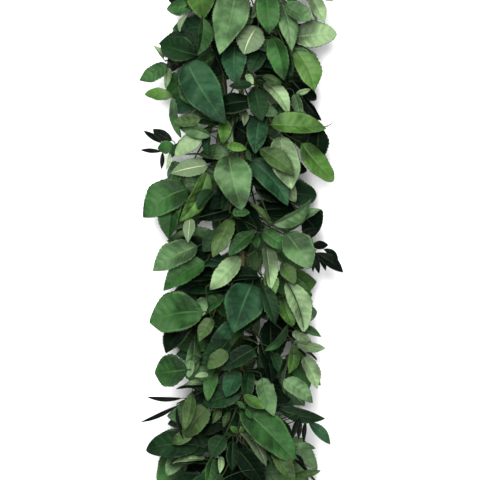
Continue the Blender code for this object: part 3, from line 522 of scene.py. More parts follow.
def loft(rings):
    """A closed mesh through rings of points. Opposite faces are split along matching diagonals."""
    points, rows = [], []
    for ring in rings:
        rows.append(range(len(points), len(points) + len(ring)))
        points.extend(ring)
    faces = []
    for low, high in zip(rows, rows[1:]):
        count = max(len(low), len(high))
        for k in range(count):
            a, b = low[k % len(low)], low[(k + 1) % len(low)]
            d, c = high[k % len(high)], high[(k + 1) % len(high)]
            if len(low) == 1:
                faces.append((a, c, d))
            elif len(high) == 1:
                faces.append((a, b, d))
            elif k % 2:
                faces += [(a, b, d), (b, c, d)]
            else:
                faces += [(a, b, c), (a, c, d)]
    for row, forward in ((rows[0], False), (rows[-1], True)):
        for k in range(1, len(row) - 1):
            face = (row[0], row[k], row[k + 1])
            faces.append(face if forward else face[::-1])
    volume = sum(points[a].dot(points[b].cross(points[c])) for a, b, c in faces)
    if volume < 0:
        faces = [face[::-1] for face in faces]
    return points, faces


def tube_rings(points, radius, sides, end_scale=1.0, side=Vector((1, 0, 0))):
    """Rings of a tube along points, turned with the path. With 3 sides, a corner points away from side."""
    rings = []
    for k, point in enumerate(points):
        ahead = points[min(k + 1, len(points) - 1)] - points[max(k - 1, 0)]
        ahead.normalize()
        side = (side - ahead * side.dot(ahead)).normalized()
        up = ahead.cross(side)
        share = k / (len(points) - 1)
        size = radius * (1.0 + (end_scale - 1.0) * share)
        rings.append([
            point + side * size * math.cos(turn) + up * size * math.sin(turn)
            for turn in (math.tau * (n + 0.5) / sides for n in range(sides))
        ])
    return rings


class Obstacles:
    """Everything placed so far, for telling whether a new piece touches another spray."""

    def __init__(self):
        self.held = []

    @staticmethod
    def entry(mesh, owner, part):
        points, faces = mesh
        low = Vector(tuple(min(p[k] for p in points) for k in range(3)))
        high = Vector(tuple(max(p[k] for p in points) for k in range(3)))
        return BVHTree.FromPolygons(points, faces), low, high, owner, part

    def add(self, mesh, owner, part):
        self.held.append(self.entry(mesh, owner, part))

    def touches(self, mesh, owner, part):
        """A blade keeps clear of every other blade; the rest of a spray may join its own stem and stalks."""
        tree, low, high, _, _ = self.entry(mesh, owner, part)
        for other, other_low, other_high, other_owner, other_part in self.held:
            if other_owner == owner and not (part == "blade" and other_part == "blade"):
                continue
            if any(high[k] < other_low[k] or other_high[k] < low[k] for k in range(3)):
                continue
            if tree.overlap(other):
                return True
        return False


def sheet_point(spray, x, y):
    """The point over (x, y) of the sheet on which a spray lies."""
    down = max(spray.root_y - y - SHEET_START, 0.0)
    share = min(abs(x) / HALF_SPREAD, MOST_SPREAD)
    if spray.family == "front":
        height = (SHEET_RISE + SHEET_SLOPE * down) * (1.0 - share ** 2)
    elif spray.family == "back":
        height = -min(SHEET_RISE + REAR_SLOPE * down, AXIS_HEIGHT - FLOOR_MARGIN) * (1.0 - share ** 4)
    else:
        height = spray.slope * down
    return Vector((x, y, AXIS_HEIGHT + height))


def sheet_normal(spray, x, y):
    """Outward normal of that sheet, which the blades there face."""
    here = sheet_point(spray, x, y)
    over = sheet_point(spray, x + NORMAL_REACH, y) - here
    along = sheet_point(spray, x, y + NORMAL_REACH) - here
    normal = over.cross(along).normalized()
    return -normal if spray.family == "back" else normal


def rule_end(spray, lean):
    """Where the stem of a spray placed by rule ends."""
    out, down = FOOT_STEPS
    x = STEP * lean * (out + RULE_REACH[spray.family] * spray.rng.uniform(*REACH_SPREAD))
    y = spray.root_y - STEP * (down + RULE_RUN[spray.family] * spray.rng.uniform(*RUN_SPREAD))
    end = sheet_point(spray, x, max(y, LAST_STEM_END))
    end.z += spray.rng.uniform(-END_RISE, END_RISE)
    return end


def rule_leaf(spray):
    """One try at a leaf that grows from the stem of a spray, turned to one side of it."""
    rng = spray.rng
    share = rng.uniform(FIRST_FOOT, LAST_FOOT)
    foot = along_route(spray.route, share)
    ahead = along_route(spray.route, min(share + ROUTE_LOOK, 1.0))
    ahead -= along_route(spray.route, share - ROUTE_LOOK)
    turn = math.atan2(ahead.x, -ahead.y) + rng.choice((-1, 1)) * rng.uniform(*LEAF_TURNS)
    turn = max(-RULE_TURN, min(RULE_TURN, turn))
    size = STEP * rng.uniform(*RULE_SIZES)
    x = max(-RULE_EDGE * STEP, min(RULE_EDGE * STEP, foot.x + size * math.sin(turn)))
    y = max(foot.y - size * math.cos(turn), -0.5 * LENGTH + END_MARGIN)
    rise = Vector((0, 0, rng.uniform(*RULE_RISE[spray.family])))
    tip = foot + sheet_point(spray, x, y) - sheet_point(spray, foot.x, foot.y) + rise
    tip.z = min(tip.z, MOST_HEIGHT)
    hint = sheet_normal(spray, 0.5 * (x + foot.x), 0.5 * (y + foot.y))
    tone = rng.choice(RULE_TONES[spray.family])
    leaf = Leaf(foot, tip, size * rng.uniform(*RULE_WIDTHS), "broad", tone, hint, rng)
    leaf.roll = rng.gauss(0.0, RULE_ROLL[spray.family])
    leaf.sessile = True
    return keep_above_floor(leaf)


def cells_of(leaf):
    """Cells that a blade covers on a grid in plan, with its height there, and on one grid for each side."""
    found = {}
    for i in range(1, CELL_ROWS):
        for across in CELL_PLACES:
            point, _ = blade_point(leaf, i / CELL_ROWS, across)
            x, y, z = (round(value / CELL) for value in point)
            if abs(point.x) < RULE_EDGE * STEP:
                found["plan", x, y] = point.z
            if abs(point.x) > SIDE_START:
                found[point.x > 0, y, z] = 0.0
    return found


def make_leaf(row, spray):
    """A leaf from its traced row, lying on its spray's sheet."""
    x0, y0, x1, y1, width, tone = row
    base = sheet_point(spray, x0 * STEP, y0 * STEP)
    tip = sheet_point(spray, x1 * STEP, y1 * STEP)
    middle = base.lerp(tip, 0.5)
    hint = sheet_normal(spray, middle.x, middle.y)
    shape = "twig" if tone == "twig" else spray.kind
    leaf = Leaf(base, tip, width * STEP, shape, tone, hint, spray.rng)
    leaf.width /= math.cos(leaf.fold)
    return leaf


def bound_point(slot, y):
    """A place in the ring of stems round the rope."""
    turn = math.tau * slot / SLOTS
    return Vector((STEM_RING * math.sin(turn), y, AXIS_HEIGHT + STEM_RING * math.cos(turn)))


def stem_route(slot, bound, root_y, leaves, bulge):
    """From the cut end along the rope, then out to the foot of the furthest leaf."""
    last = min(leaves, key=lambda leaf: leaf.base.y - SIDEWAYS_WEIGHT * abs(leaf.base.x))
    middle = sum((leaf.base for leaf in leaves), Vector()) / len(leaves)
    drop = Vector((0, 0, -STEM_TUCK if last.hint.z > 0 else STEM_TUCK))
    start = bound_point(slot, root_y - bound)
    end = last.base - (last.tip - last.base).normalized() * STEM_SHORT + drop
    knee = middle.lerp(start.lerp(end, 0.5), KNEE_SHARE) + drop + last.hint * bulge
    knee.y = min(knee.y, start.y - KNEE_DROP)
    if end.y > knee.y - STEM_SHORT:
        knee.y = 0.5 * (start.y + end.y)
    route = [bound_point(slot, root_y), start]
    for share in ROUTE_SHARES:
        route.append(start.lerp(knee, share).lerp(knee.lerp(end, share), share))
    return route


def along_route(route, share):
    """The point at a share of a route's pieces."""
    place = share * (len(route) - 1)
    k = min(int(place), len(route) - 2)
    return route[k].lerp(route[k + 1], place - k)


def square_ring(centre, side, up, size):
    return [centre - side * size, centre + up * size, centre + side * size, centre - up * size]


def stalk_rings(foot, leaf, grown=0.0):
    """From inside the stem towards the blade, with an elbow where the stalk turns into its direction."""
    along, _, _ = blade_frame(leaf)
    reach = (leaf.base - foot).length
    turn = along.dot((leaf.base - foot).normalized())
    rings = [[foot]]
    if reach > ELBOW_REACH or turn < ELBOW_TURN:
        elbow = leaf.base - along * min(ELBOW_SHARE * reach, ELBOW_BACK)
        ahead = ((elbow - foot).normalized() + along).normalized()
        up = (leaf.hint - ahead * leaf.hint.dot(ahead)).normalized()
        rings.append(square_ring(elbow, ahead.cross(up), up, STALK_RADIUS + grown))
    return rings


def stalk_solid(foot, leaf, grown=0.0):
    """The stalk alone, up to the blade."""
    _, side, up = blade_frame(leaf)
    return loft(stalk_rings(foot, leaf, grown) + [square_ring(leaf.base, side, up, STALK_RADIUS + grown)])


def keep_above_floor(leaf):
    """Bends a leaf up where it would pass through the surface that the garland lies on."""
    for _ in range(FLOOR_TRIES):
        lowest = min(point.z for ring in blade_rings(leaf) for point in ring)
        if lowest >= GAP:
            break
        leaf.tip = leaf.tip + Vector((0, 0, FLOOR_LIFT * (GAP - lowest)))
        leaf.arch *= FLOOR_ARCH
    return leaf if lowest >= 0 else None


def stalk_cost(foot, base, along):
    """How far a stalk from foot to base is, with more for one that has to turn back into the leaf."""
    way = base - foot
    return way.length + TURN_COST * (1.0 - along.dot(way.normalized()))


def clear_leaf(leaf, feet, owner, obstacles, lifts):
    """The first of the leaf's tries that touches no other spray, with its foot on the stem, or None."""
    for lift, share, roll in lifts:
        tried = keep_above_floor(leaf.moved(lift * share, lift, roll))
        if tried is None or obstacles.touches(loft(blade_rings(tried, CLEARANCE)), owner, "blade"):
            continue
        along = (tried.tip - tried.base).normalized()
        for foot in sorted(feet, key=lambda point: stalk_cost(point, tried.base, along))[:NEAREST_FEET]:
            if (foot - tried.base).length < LEAST_STALK:
                continue
            if not obstacles.touches(stalk_solid(foot, tried, CLEARANCE), owner, "stalk"):
                tried.stalk = stalk_rings(foot, tried)
                return tried
    return None


def lift_tries(leaf):
    """Ways to lift a leaf, the least first: how far, how much of it at the base, and the blade's roll."""
    rolls = [leaf.roll, leaf.roll - 2 * leaf.tilt, 0.5 * leaf.roll, 0.0]
    tries = []
    for k in range(LIFTS):
        for roll in rolls if k < FULL_LIFTS else rolls[::3]:
            for share in LIFT_SHARES:
                tries.append((LIFT_STEP * k, share, roll))
    return tries


def stem_rings(spray):
    """The stem, with a corner along the rope where it is bound."""
    start = spray.route[0]
    outward = start - Vector((0, start.y, AXIS_HEIGHT))
    return tube_rings(spray.route, STEM_RADIUS, 3, STEM_TAPER, outward)


class Layout:
    """The sprays placed so far, with what they cover and what a new one has to keep clear of."""

    def __init__(self):
        self.sprays = []
        self.covered = set()
        self.shown = {}
        self.obstacles = Obstacles()
        self.obstacles.add(loft(tube_rings(wire_path(), WIRE_RADIUS + WIRE_MARGIN, 3)), "wire", "wire")
        self.obstacles.add(loft(rope_rings()), "rope", "rope")

    def keep(self, spray, leaf):
        self.obstacles.add(loft(blade_rings(leaf)), spray.name, "blade")
        if leaf.stalk:
            self.obstacles.add(stalk_solid(leaf.stalk[0][0], leaf), spray.name, "stalk")
        self.covered |= set(cells_of(leaf))
        spray.leaves.append(leaf)

    def add_front(self, spray, rows):
        """A spray whose leaves lie where they show in front."""
        leaves = [make_leaf(row, spray) for row in rows]
        if not self.place_stem(spray, leaves):
            print("no room for the stem of", spray.name)
            return
        reach = (LAST_FOOT - FIRST_FOOT) / (FEET - 1)
        feet = [along_route(spray.route, FIRST_FOOT + reach * k) for k in range(FEET)]
        for leaf in leaves:
            found = clear_leaf(leaf, feet, spray.name, self.obstacles, lift_tries(leaf))
            if found is None:
                print("no room for a leaf of", spray.name, leaf.tone)
                continue
            self.keep(spray, found)
            for cell, height in cells_of(found).items():
                self.shown[cell] = max(height, self.shown.get(cell, 0.0))

    def add_by_rule(self, spray, lean):
        """A spray whose leaves are placed by rule, where they cover what is still open."""
        for _ in range(STEM_TRIES):
            end = rule_end(spray, lean)
            tip = end - Vector((0, GUIDE_LENGTH, 0))
            hint = sheet_normal(spray, end.x, end.y)
            guide = Leaf(end, tip, GUIDE_LENGTH, "broad", "mid", hint, spray.rng)
            if self.place_stem(spray, [guide]):
                self.grow(spray, RULE_LEAVES[spray.family], FEWEST_CELLS)
                if not spray.leaves:
                    self.grow(spray, FEWEST_LEAVES, 0)
                return
        print("no room for the stem of", spray.name)

    def grow(self, spray, count, fewest):
        """Leaves along a stem, each the clear one of its tries that fills the most gaps behind the rest."""
        for _ in range(count):
            tries = []
            for _ in range(RULE_TRIES):
                leaf = rule_leaf(spray)
                if leaf is None:
                    continue
                cells = cells_of(leaf)
                hides = sum(height > self.shown.get(cell, 1.0) for cell, height in cells.items())
                fresh = sum(PLAN_WEIGHT if cell[0] == "plan" else 1 for cell in set(cells) - self.covered)
                tries.append((fresh - HIDE_COST * hides, leaf))
            tries.sort(key=lambda pair: -pair[0])
            for gain, leaf in tries:
                if gain < fewest:
                    break
                if not self.obstacles.touches(loft(blade_rings(leaf, CLEARANCE)), spray.name, "blade"):
                    self.keep(spray, leaf)
                    break

    def place_stem(self, spray, leaves):
        """The nearest free place on the rope, bound length and bulge for which the stem touches nothing."""
        mean_x = sum(leaf.base.x for leaf in leaves) / len(leaves)
        facing = {"front": 0.0, "side": math.copysign(0.25, mean_x), "back": 0.5}[spray.family]
        facing += {"front": FACING_TURN, "side": 0.0, "back": -FACING_TURN}[spray.family] * mean_x
        slots = sorted(range(SLOTS), key=lambda s: abs((s / SLOTS - facing + 0.5) % 1.0 - 0.5))
        for shift in STEM_SHIFTS:
            for slot in slots[:NEAREST_SLOTS]:
                for bulge in STEM_BULGES:
                    for bound in STEM_BOUNDS:
                        top = min(spray.root_y + shift, TOP_ROOT * STEP)
                        route = stem_route(slot, bound, top, leaves, bulge)
                        mesh = loft(tube_rings(route, STEM_RADIUS + GAP, 4, STEM_TAPER))
                        if not self.obstacles.touches(mesh, spray.name, "stem"):
                            spray.route = route
                            self.obstacles.add(loft(stem_rings(spray)), spray.name, "stem")
                            self.sprays.append(spray)
                            return True
        return False


def lay_out():
    """Every spray, placed so that no two touch: front, what fills it from behind, sides and back."""
    layout = Layout()
    fronts = [(min(max(row[1] for row in rows) + ROOT_OFFSET, TOP_ROOT), name, kind, rows)
              for name, kind, rows in FRONT_SPRAYS]
    for number, (root, name, kind, rows) in enumerate(sorted(fronts)):
        layout.add_front(Spray(name, kind, "front", root * STEP, number), rows)
    for spray in list(layout.sprays):
        if spray.kind == "broad":
            layout.grow(spray, FRONT_EXTRAS, FEWEST_CELLS)
    for index, (name, family, root, lean) in enumerate(RULE_SPRAYS):
        layout.add_by_rule(Spray(name, "broad", family, root * STEP, FIRST_RULE_NUMBER + index), lean)
    return layout.sprays


def wire_path():
    """A helix round the rope and the bound stems."""
    turns = (LENGTH - WIRE_SPARE) / WIRE_PITCH
    count = int(turns * WIRE_TURN_SIDES)
    top = 0.5 * LENGTH - WIRE_END
    path = []
    for k in range(count):
        turn = math.tau * k / WIRE_TURN_SIDES
        path.append(Vector((
            WIRE_RING * math.sin(turn),
            top - WIRE_PITCH * k / WIRE_TURN_SIDES,
            AXIS_HEIGHT + WIRE_RING * math.cos(turn),
        )))
    return path


def rope_rings():
    ends = (Vector((0, y, AXIS_HEIGHT)) for y in (0.5 * LENGTH, -0.5 * LENGTH + ROPE_FOOT))
    return tube_rings(tuple(ends), ROPE_RADIUS, ROPE_SIDES)


# Fine leaves: columns across half a blade from the midrib to the edge, rows and veins along it, and its
# relief. Lengths are in metres, and the other values are shares of the width or of the half width.
BROAD_COLUMNS = (0.0, 0.045, 0.12, 0.30, 0.50, 0.70, 0.87, 1.0)
NARROW_COLUMNS = (0.0, 0.12, 0.5, 1.0)
SWEEP = 0.17
PETIOLE = 0.06
ROW_STEPS = 4
LARGE_ROW_STEPS = 6
LARGE_BLADE = 0.085
NARROW_ROWS = 14
VEIN_SPACING = 0.030
FEWEST_VEINS = 4
EDGE_WAVE = 0.045
EDGE_TURNS = 6.0
EDGE_RIPPLE = 0.03
RIPPLE_TURNS = 15.0
FLUTTER_TURNS = 17.0
TOOTH_SHARE = 0.03
TOOTH_SPREAD = (0.6, 1.4)
LEAST_HALF = 0.0006
PUFF_WIDTH = 0.04
CURLS = (-0.16, 0.10)
RIB_REACH = 0.11
GROOVE_REACH = 0.045
GROOVE_SHARE = 0.45
DRAW_SCALE = 1e6
TINT_OFFSET = 7

# Round tubes: how many sides they have, a direction that none of them runs along, and how many of a
# path's points one unit of the texture takes
STEM_SIDES = 8
STALK_SIDES = 6
STRAND_SIDES = 10
WIRE_SIDES = 8
TUBE_SIDE = (0.31, 0.17, 0.93)
TUBE_RUN = 6.0
STRANDS = 3
STRAND_STEPS = 12
WIRE_STEPS = 3
FOOT_LENGTH = 0.002
STALK_INSIDE = 0.08

# sRGB colour of each tone's upper face
TONE_COLOURS = {
    "bright": (0.23, 0.37, 0.14),
    "mid": (0.14, 0.29, 0.12),
    "blue": (0.10, 0.24, 0.14),
    "dark": (0.06, 0.16, 0.07),
    # Painted shade: a near-black green for leaves that lie behind others
    "deep": (0.02, 0.07, 0.03),
    "pale": (0.42, 0.52, 0.36),
    "olive": (0.19, 0.28, 0.13),
    "under": (0.27, 0.34, 0.24),
    "sage": (0.26, 0.38, 0.23),
    "black": (0.01, 0.04, 0.02),
    "twig": (0.07, 0.12, 0.05),
}


def linear(colour):
    """An sRGB colour as Blender's linear one."""
    return tuple(c / 12.92 if c <= 0.04045 else ((c + 0.055) / 1.055) ** 2.4 for c in colour)


def fine_outline(leaf, t):
    """The outline along a blade, as outline() but for arrays. A sessile blade has a short petiole."""
    if leaf.sessile:
        t = np.clip((t - PETIOLE) / (1.0 - PETIOLE), 0.0, 1.0)
    if leaf.kind == "narrow":
        return np.clip(np.sin(np.pi * t ** NARROW_SKEW), 0.0, 1.0) ** NARROW_FULLNESS
    return np.clip(np.sin(np.pi * t ** leaf.belly), 0.0, 1.0) ** (BROAD_FULLNESS + leaf.point * t * t)


def fine_blade(leaf, look):
    """A blade's upper and lower points on one grid, their places across and along it, and its side veins."""
    own = random.Random(int(leaf.phase * DRAW_SCALE))
    span = (leaf.tip - leaf.base).length
    broad = leaf.kind == "broad"
    columns = BROAD_COLUMNS if broad else NARROW_COLUMNS
    veins = FEWEST_VEINS + round(span / VEIN_SPACING)
    steps = LARGE_ROW_STEPS if span > LARGE_BLADE else ROW_STEPS
    rows = veins * steps if broad else NARROW_ROWS
    across = np.array([-c for c in columns[:0:-1]] + list(columns))
    row, v = np.meshgrid(np.arange(1, rows) / rows, across, indexing="ij")
    side = np.abs(v)
    sweep = SWEEP if broad else 0.0
    t = row + sweep * 4.0 * row * (1.0 - row) * side ** 1.4
    half = 0.5 * leaf.width * fine_outline(leaf, t)
    if broad:
        edge = 1.0 + EDGE_WAVE * np.sin(EDGE_TURNS * t + leaf.phase + (v > 0))
        half = half * (edge + EDGE_RIPPLE * np.sin(RIPPLE_TURNS * t - leaf.phase))
    tooth = min(look.tooth_depth, TOOTH_SHARE * leaf.width) if broad else 0.0
    bite = np.array([own.uniform(*TOOTH_SPREAD) * (k % 2) for k in range(1, rows)])
    half = np.maximum(half - tooth * (side == 1.0) * bite[:, None], LEAST_HALF)

    fade = np.sin(np.pi * np.clip(row, 0.0, 1.0)) ** 0.5
    wave = leaf.wave * np.sin(WAVE_TURNS * t + leaf.phase + WAVE_OFFSET * (v > 0)) * side
    flutter = np.sin(FLUTTER_TURNS * t + 3.0 * leaf.phase + 1.3 * (v > 0))
    wave += 0.5 * leaf.wave * flutter * side ** 2
    puff = look.puff_height * min(1.0, leaf.width / PUFF_WIDTH) * (0.5 - 0.5 * np.cos(math.tau * veins * row))
    puff = puff * np.sin(np.pi * np.clip(side, 0.0, 1.0) ** 0.8) * fade if broad else 0.0 * t
    curl = own.uniform(*CURLS) * half * side ** 3
    rise = half * side * math.sin(leaf.fold) + wave + puff + curl
    rib = np.clip(1.0 - side / RIB_REACH, 0.0, 1.0) * (1.0 - 0.75 * row)
    groove = np.clip(1.0 - side / GROOVE_REACH, 0.0, 1.0) * (1.0 - row)
    upper = rise - look.rib_height * GROOVE_SHARE * groove
    upper = upper + 0.5 * look.blade_thickness * (side < 1.0)
    lower = rise - 0.5 * look.blade_thickness * (side < 1.0) - look.rib_height * rib

    _, out, normal = (np.array(vector) for vector in blade_frame(leaf))
    up = normal * math.cos(leaf.roll) + out * math.sin(leaf.roll)
    out = out * math.cos(leaf.roll) - normal * math.sin(leaf.roll)
    base, tip = np.array(leaf.base), np.array(leaf.tip)
    bow = 4.0 * t * (1.0 - t)
    centre = base + (tip - base) * t[..., None] + up * (leaf.arch * bow)[..., None]
    centre = centre + out * (leaf.bend * bow + half * v * math.cos(leaf.fold))[..., None]
    return centre + up * upper[..., None], centre + up * lower[..., None], v, row, veins


class Piece:
    """Gathers the points and faces of one piece, with what its materials read from them."""

    def __init__(self, name):
        self.name = name
        self.points, self.faces, self.tones, self.veins, self.marks = [], [], [], [], []
        self.count = 0

    def add(self, points, face_sets, tone, veins, marks):
        """Adds points, and faces that number them from zero."""
        for faces in face_sets:
            self.faces += (np.asarray(faces) + self.count).tolist()
            self.tones += [tone] * len(faces)
        self.points.append(points)
        self.veins.append(veins)
        self.marks.append(marks)
        self.count += len(points)

    def add_blade(self, leaf, look):
        """A closed blade: the faces share their rim, and each end is one point."""
        upper, lower, v, row, veins = fine_blade(leaf, look)
        rows, cols = v.shape
        own = random.Random(int(leaf.phase * DRAW_SCALE) + TINT_OFFSET)
        tint, patch = own.random(), own.random()
        top = np.arange(rows * cols).reshape(rows, cols)
        inner = rows * cols + np.arange(rows * (cols - 2)).reshape(rows, cols - 2)
        bottom = np.hstack([top[:, :1], inner, top[:, -1:]])
        first = rows * cols + rows * (cols - 2)
        points = np.concatenate([
            upper.reshape(-1, 3), lower[:, 1:-1].reshape(-1, 3), [leaf.base], [leaf.tip]])
        quads, ends = [], []
        for grid, turn in ((top, 1), (bottom, -1)):
            a, b, c, d = grid[:-1, :-1], grid[:-1, 1:], grid[1:, 1:], grid[1:, :-1]
            quads.append(np.stack([a, b, c, d], axis=-1).reshape(-1, 4)[:, ::turn])
            low, high = grid[0], grid[-1]
            ends.append(np.stack([np.full(cols - 1, first), low[1:], low[:-1]], axis=-1)[:, ::turn])
            ends.append(np.stack([np.full(cols - 1, first + 1), high[:-1], high[1:]], axis=-1)[:, ::turn])
        veins_at = np.stack([0.5 + 0.5 * v, veins * row], axis=-1)
        uv = np.concatenate([
            veins_at.reshape(-1, 2), veins_at[:, 1:-1].reshape(-1, 2), [[0.5, 0.0], [0.5, veins]]])
        under = np.concatenate([np.zeros(top.size), np.ones(inner.size), [0.5, 0.5]])
        share = np.concatenate([row.ravel(), row[:, 1:-1].ravel(), [0.0, 1.0]])
        marks = np.stack([np.full(len(points), tint), under, share, np.full(len(points), patch)], axis=-1)
        self.add(points, quads + ends, leaf.tone, uv, marks)

    def add_tube(self, path, radii, sides, tone, tint=0.5):
        """A round tube along a path, closed at both ends."""
        path = np.asarray(path, float)
        ahead = np.gradient(path, axis=0)
        ahead /= np.linalg.norm(ahead, axis=1)[:, None]
        side = np.cross(ahead[0], TUBE_SIDE)
        turns = math.tau * np.arange(sides) / sides
        rings = []
        for k, centre in enumerate(path):
            side = side - ahead[k] * np.dot(side, ahead[k])
            side /= np.linalg.norm(side)
            up = np.cross(ahead[k], side)
            rings.append(centre + radii[k] * (np.outer(np.cos(turns), side) + np.outer(np.sin(turns), up)))
        points = np.concatenate(rings + [path[:1], path[-1:]])
        grid = np.arange(len(path) * sides).reshape(-1, sides)
        after = np.roll(grid, -1, axis=1)
        body = np.stack([grid[:-1], after[:-1], after[1:], grid[1:]], axis=-1).reshape(-1, 4)
        run = np.repeat(np.arange(len(path)) / TUBE_RUN, sides)
        uv = np.stack([np.tile(np.arange(sides) / sides, len(path)), run], axis=-1)
        uv = np.concatenate([uv, [[0.5, 0.0], [0.5, run[-1]]]])
        marks = np.tile([tint, 0.0, 0.5, 0.5], (len(points), 1))
        marks[:, 2] = np.concatenate([run / run[-1], [0.0, 1.0]])
        first, last = len(points) - 2, (len(path) - 1) * sides
        caps = []
        for k in range(sides):
            n = (k + 1) % sides
            caps += [[first, n, k], [first + 1, last + k, last + n]]
        self.add(points, (body, caps), tone, uv, marks)

    def finish(self, shift, materials):
        """Makes the mesh object, smooth except along its sharp edges, and lets it ride on the garland."""
        points = np.concatenate(self.points) + np.array(shift)
        points = np.clip(points, CAD_BOX[0], CAD_BOX[1])
        mesh = bpy.data.meshes.new(self.name)
        mesh.from_pydata(points.tolist(), [], self.faces)
        used = sorted(set(self.tones))
        for tone in used:
            mesh.materials.append(materials[tone])
        mesh.polygons.foreach_set("material_index", [used.index(tone) for tone in self.tones])
        corners = np.empty(len(mesh.loops), dtype=np.int64)
        mesh.loops.foreach_get("vertex_index", corners)
        mesh.uv_layers.new(name="veins").data.foreach_set("uv", np.concatenate(self.veins)[corners].ravel())
        marks = mesh.attributes.new("marks", "FLOAT_COLOR", "POINT")
        marks.data.foreach_set("color", np.concatenate(self.marks).ravel())
        mesh.shade_smooth()
        mesh.set_sharp_from_angle(angle=SHARP_ANGLE)
        made = bpy.data.objects.new(self.name, mesh)
        bpy.context.scene.collection.objects.link(made)
        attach(made, "root")
        return made


def smooth_path(points, steps, passes):
    """Points along a polyline, pulled smooth between its two ends."""
    points = np.array([tuple(point) for point in points])
    shares = np.linspace(0, len(points) - 1, steps * (len(points) - 1) + 1)
    path = np.stack([np.interp(shares, np.arange(len(points)), points[:, k]) for k in range(3)], axis=-1)
    for _ in range(passes):
        path[1:-1] += 0.5 * (0.5 * (path[:-2] + path[2:]) - path[1:-1])
    return path


def helix(radius, turn, along):
    """Points round the rope's axis, at the given turns and places along it."""
    return np.stack([radius * np.sin(turn), along, AXIS_HEIGHT + radius * np.cos(turn)], axis=-1)


def add_stalk(piece, leaf):
    """The petiole, from the stem to the blade, a little thicker at both ends."""
    along, _, _ = blade_frame(leaf)
    foot = leaf.stalk[0][0] if leaf.stalk else leaf.base - along * FOOT_LENGTH
    points = [foot]
    if len(leaf.stalk) > 1:
        points.append(sum(leaf.stalk[1], Vector()) / 4)
    inside, _ = blade_point(leaf, STALK_INSIDE, 0.0)
    points += [leaf.base, inside]
    path = smooth_path(points, 5, 4)
    share = np.linspace(0, 1, len(path))
    radii = STALK_RADIUS * (0.80 + 0.35 * (2 * share - 1) ** 4) * (1.0 - 0.45 * share ** 3)
    piece.add_tube(path, radii, STALK_SIDES, "twig", 0.3 + 0.4 * (leaf.phase % 1.0))


def add_twig(piece, leaf):
    """A bare twig, with a small bud at each joint."""
    path = np.array([tuple(blade_point(leaf, t, 0.0)[0]) for t in np.linspace(0, 1, 20)])
    share = np.linspace(0, 1, len(path))
    radii = STALK_RADIUS * (1.0 - 0.5 * share) * (1.0 + 0.5 * (np.arange(len(path)) % 6 == 3))
    piece.add_tube(path, radii, STALK_SIDES, "twig", 0.7)
    if leaf.stalk:
        foot_path = smooth_path([leaf.stalk[0][0], leaf.base], 3, 0)
        piece.add_tube(foot_path, np.full(len(foot_path), STALK_RADIUS), STALK_SIDES, "twig", 0.7)


def spray_piece(spray, look, shift, materials):
    """Stem, stalks, twigs and blades of one spray, as one object."""
    piece = Piece(spray.name + "_leaves")
    path = smooth_path(spray.route, 7, 5)
    share = np.linspace(0, 1, len(path))
    radii = STEM_RADIUS * (1.0 - 0.3 * share) * (1.0 + 0.16 * (np.arange(len(path)) % 7 == 5))
    piece.add_tube(path, radii, STEM_SIDES, "twig", 0.2)
    for leaf in spray.leaves:
        if leaf.kind == "twig":
            add_twig(piece, leaf)
        else:
            add_stalk(piece, leaf)
            piece.add_blade(leaf, look)
    made = piece.finish(shift, materials)
    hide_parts(spray.name)


BUMP_STRENGTH = 0.7


class Graph:
    """A material's nodes. An input is a number, a colour or another node's output."""

    def __init__(self, name):
        self.material = bpy.data.materials.new(name)
        self.material.use_nodes = True
        self.tree = self.material.node_tree
        self.shader = self.tree.nodes["Principled BSDF"]

    def put(self, socket, value):
        if isinstance(value, bpy.types.NodeSocket):
            self.tree.links.new(value, socket)
        elif isinstance(value, tuple) and len(socket.default_value) == 4:
            socket.default_value = (*value, 1.0)
        else:
            socket.default_value = value

    def node(self, kind, inputs=(), out=0, **settings):
        made = self.tree.nodes.new("ShaderNode" + kind)
        for name, value in settings.items():
            setattr(made, name, value)
        for place, value in dict(inputs).items():
            self.put(made.inputs[place], value)
        return made.outputs[out]

    def math(self, operation, *values):
        return self.node("Math", enumerate(values), operation=operation)

    def times(self, product, *factors):
        for factor in factors:
            product = self.math("MULTIPLY", product, factor)
        return product

    def mix(self, factor, first, second):
        return self.node("Mix", {0: factor, 6: first, 7: second}, out=2, data_type="RGBA")

    def layered(self, colour, *layers):
        """A colour with others laid over it in order, each as far as the factor before it says."""
        for factor, other in layers:
            colour = self.mix(factor, colour, other)
        return colour

    def ramp(self, value, low, high, start=0.0, end=1.0):
        inputs = {0: value, 1: low, 2: high, 3: start, 4: end}
        return self.node("MapRange", inputs, interpolation_type="SMOOTHSTEP")

    def noise(self, where, scale, detail=3.0, roughness=0.55):
        inputs = {"Vector": where, "Scale": scale, "Detail": detail, "Roughness": roughness}
        return self.node("TexNoise", inputs)

    def marks(self):
        """The tint, under, share and patch marks of each point."""
        marks = self.tree.nodes.new("ShaderNodeAttribute")
        marks.attribute_name = "marks"
        parts = self.node("SeparateColor", {0: marks.outputs["Color"]}).node
        return parts.outputs[0], parts.outputs[1], parts.outputs[2], marks.outputs["Alpha"]

    def place(self):
        return self.node("TexCoord", out=3)

    def finish(self, colour, roughness, height, distance, specular=0.5):
        self.put(self.shader.inputs["Base Color"], colour)
        self.put(self.shader.inputs["Roughness"], roughness)
        self.shader.inputs["Specular IOR Level"].default_value = specular
        bump = self.node("Bump", {"Height": height, "Distance": distance, "Strength": BUMP_STRENGTH})
        self.put(self.shader.inputs["Normal"], bump)
        return self.material
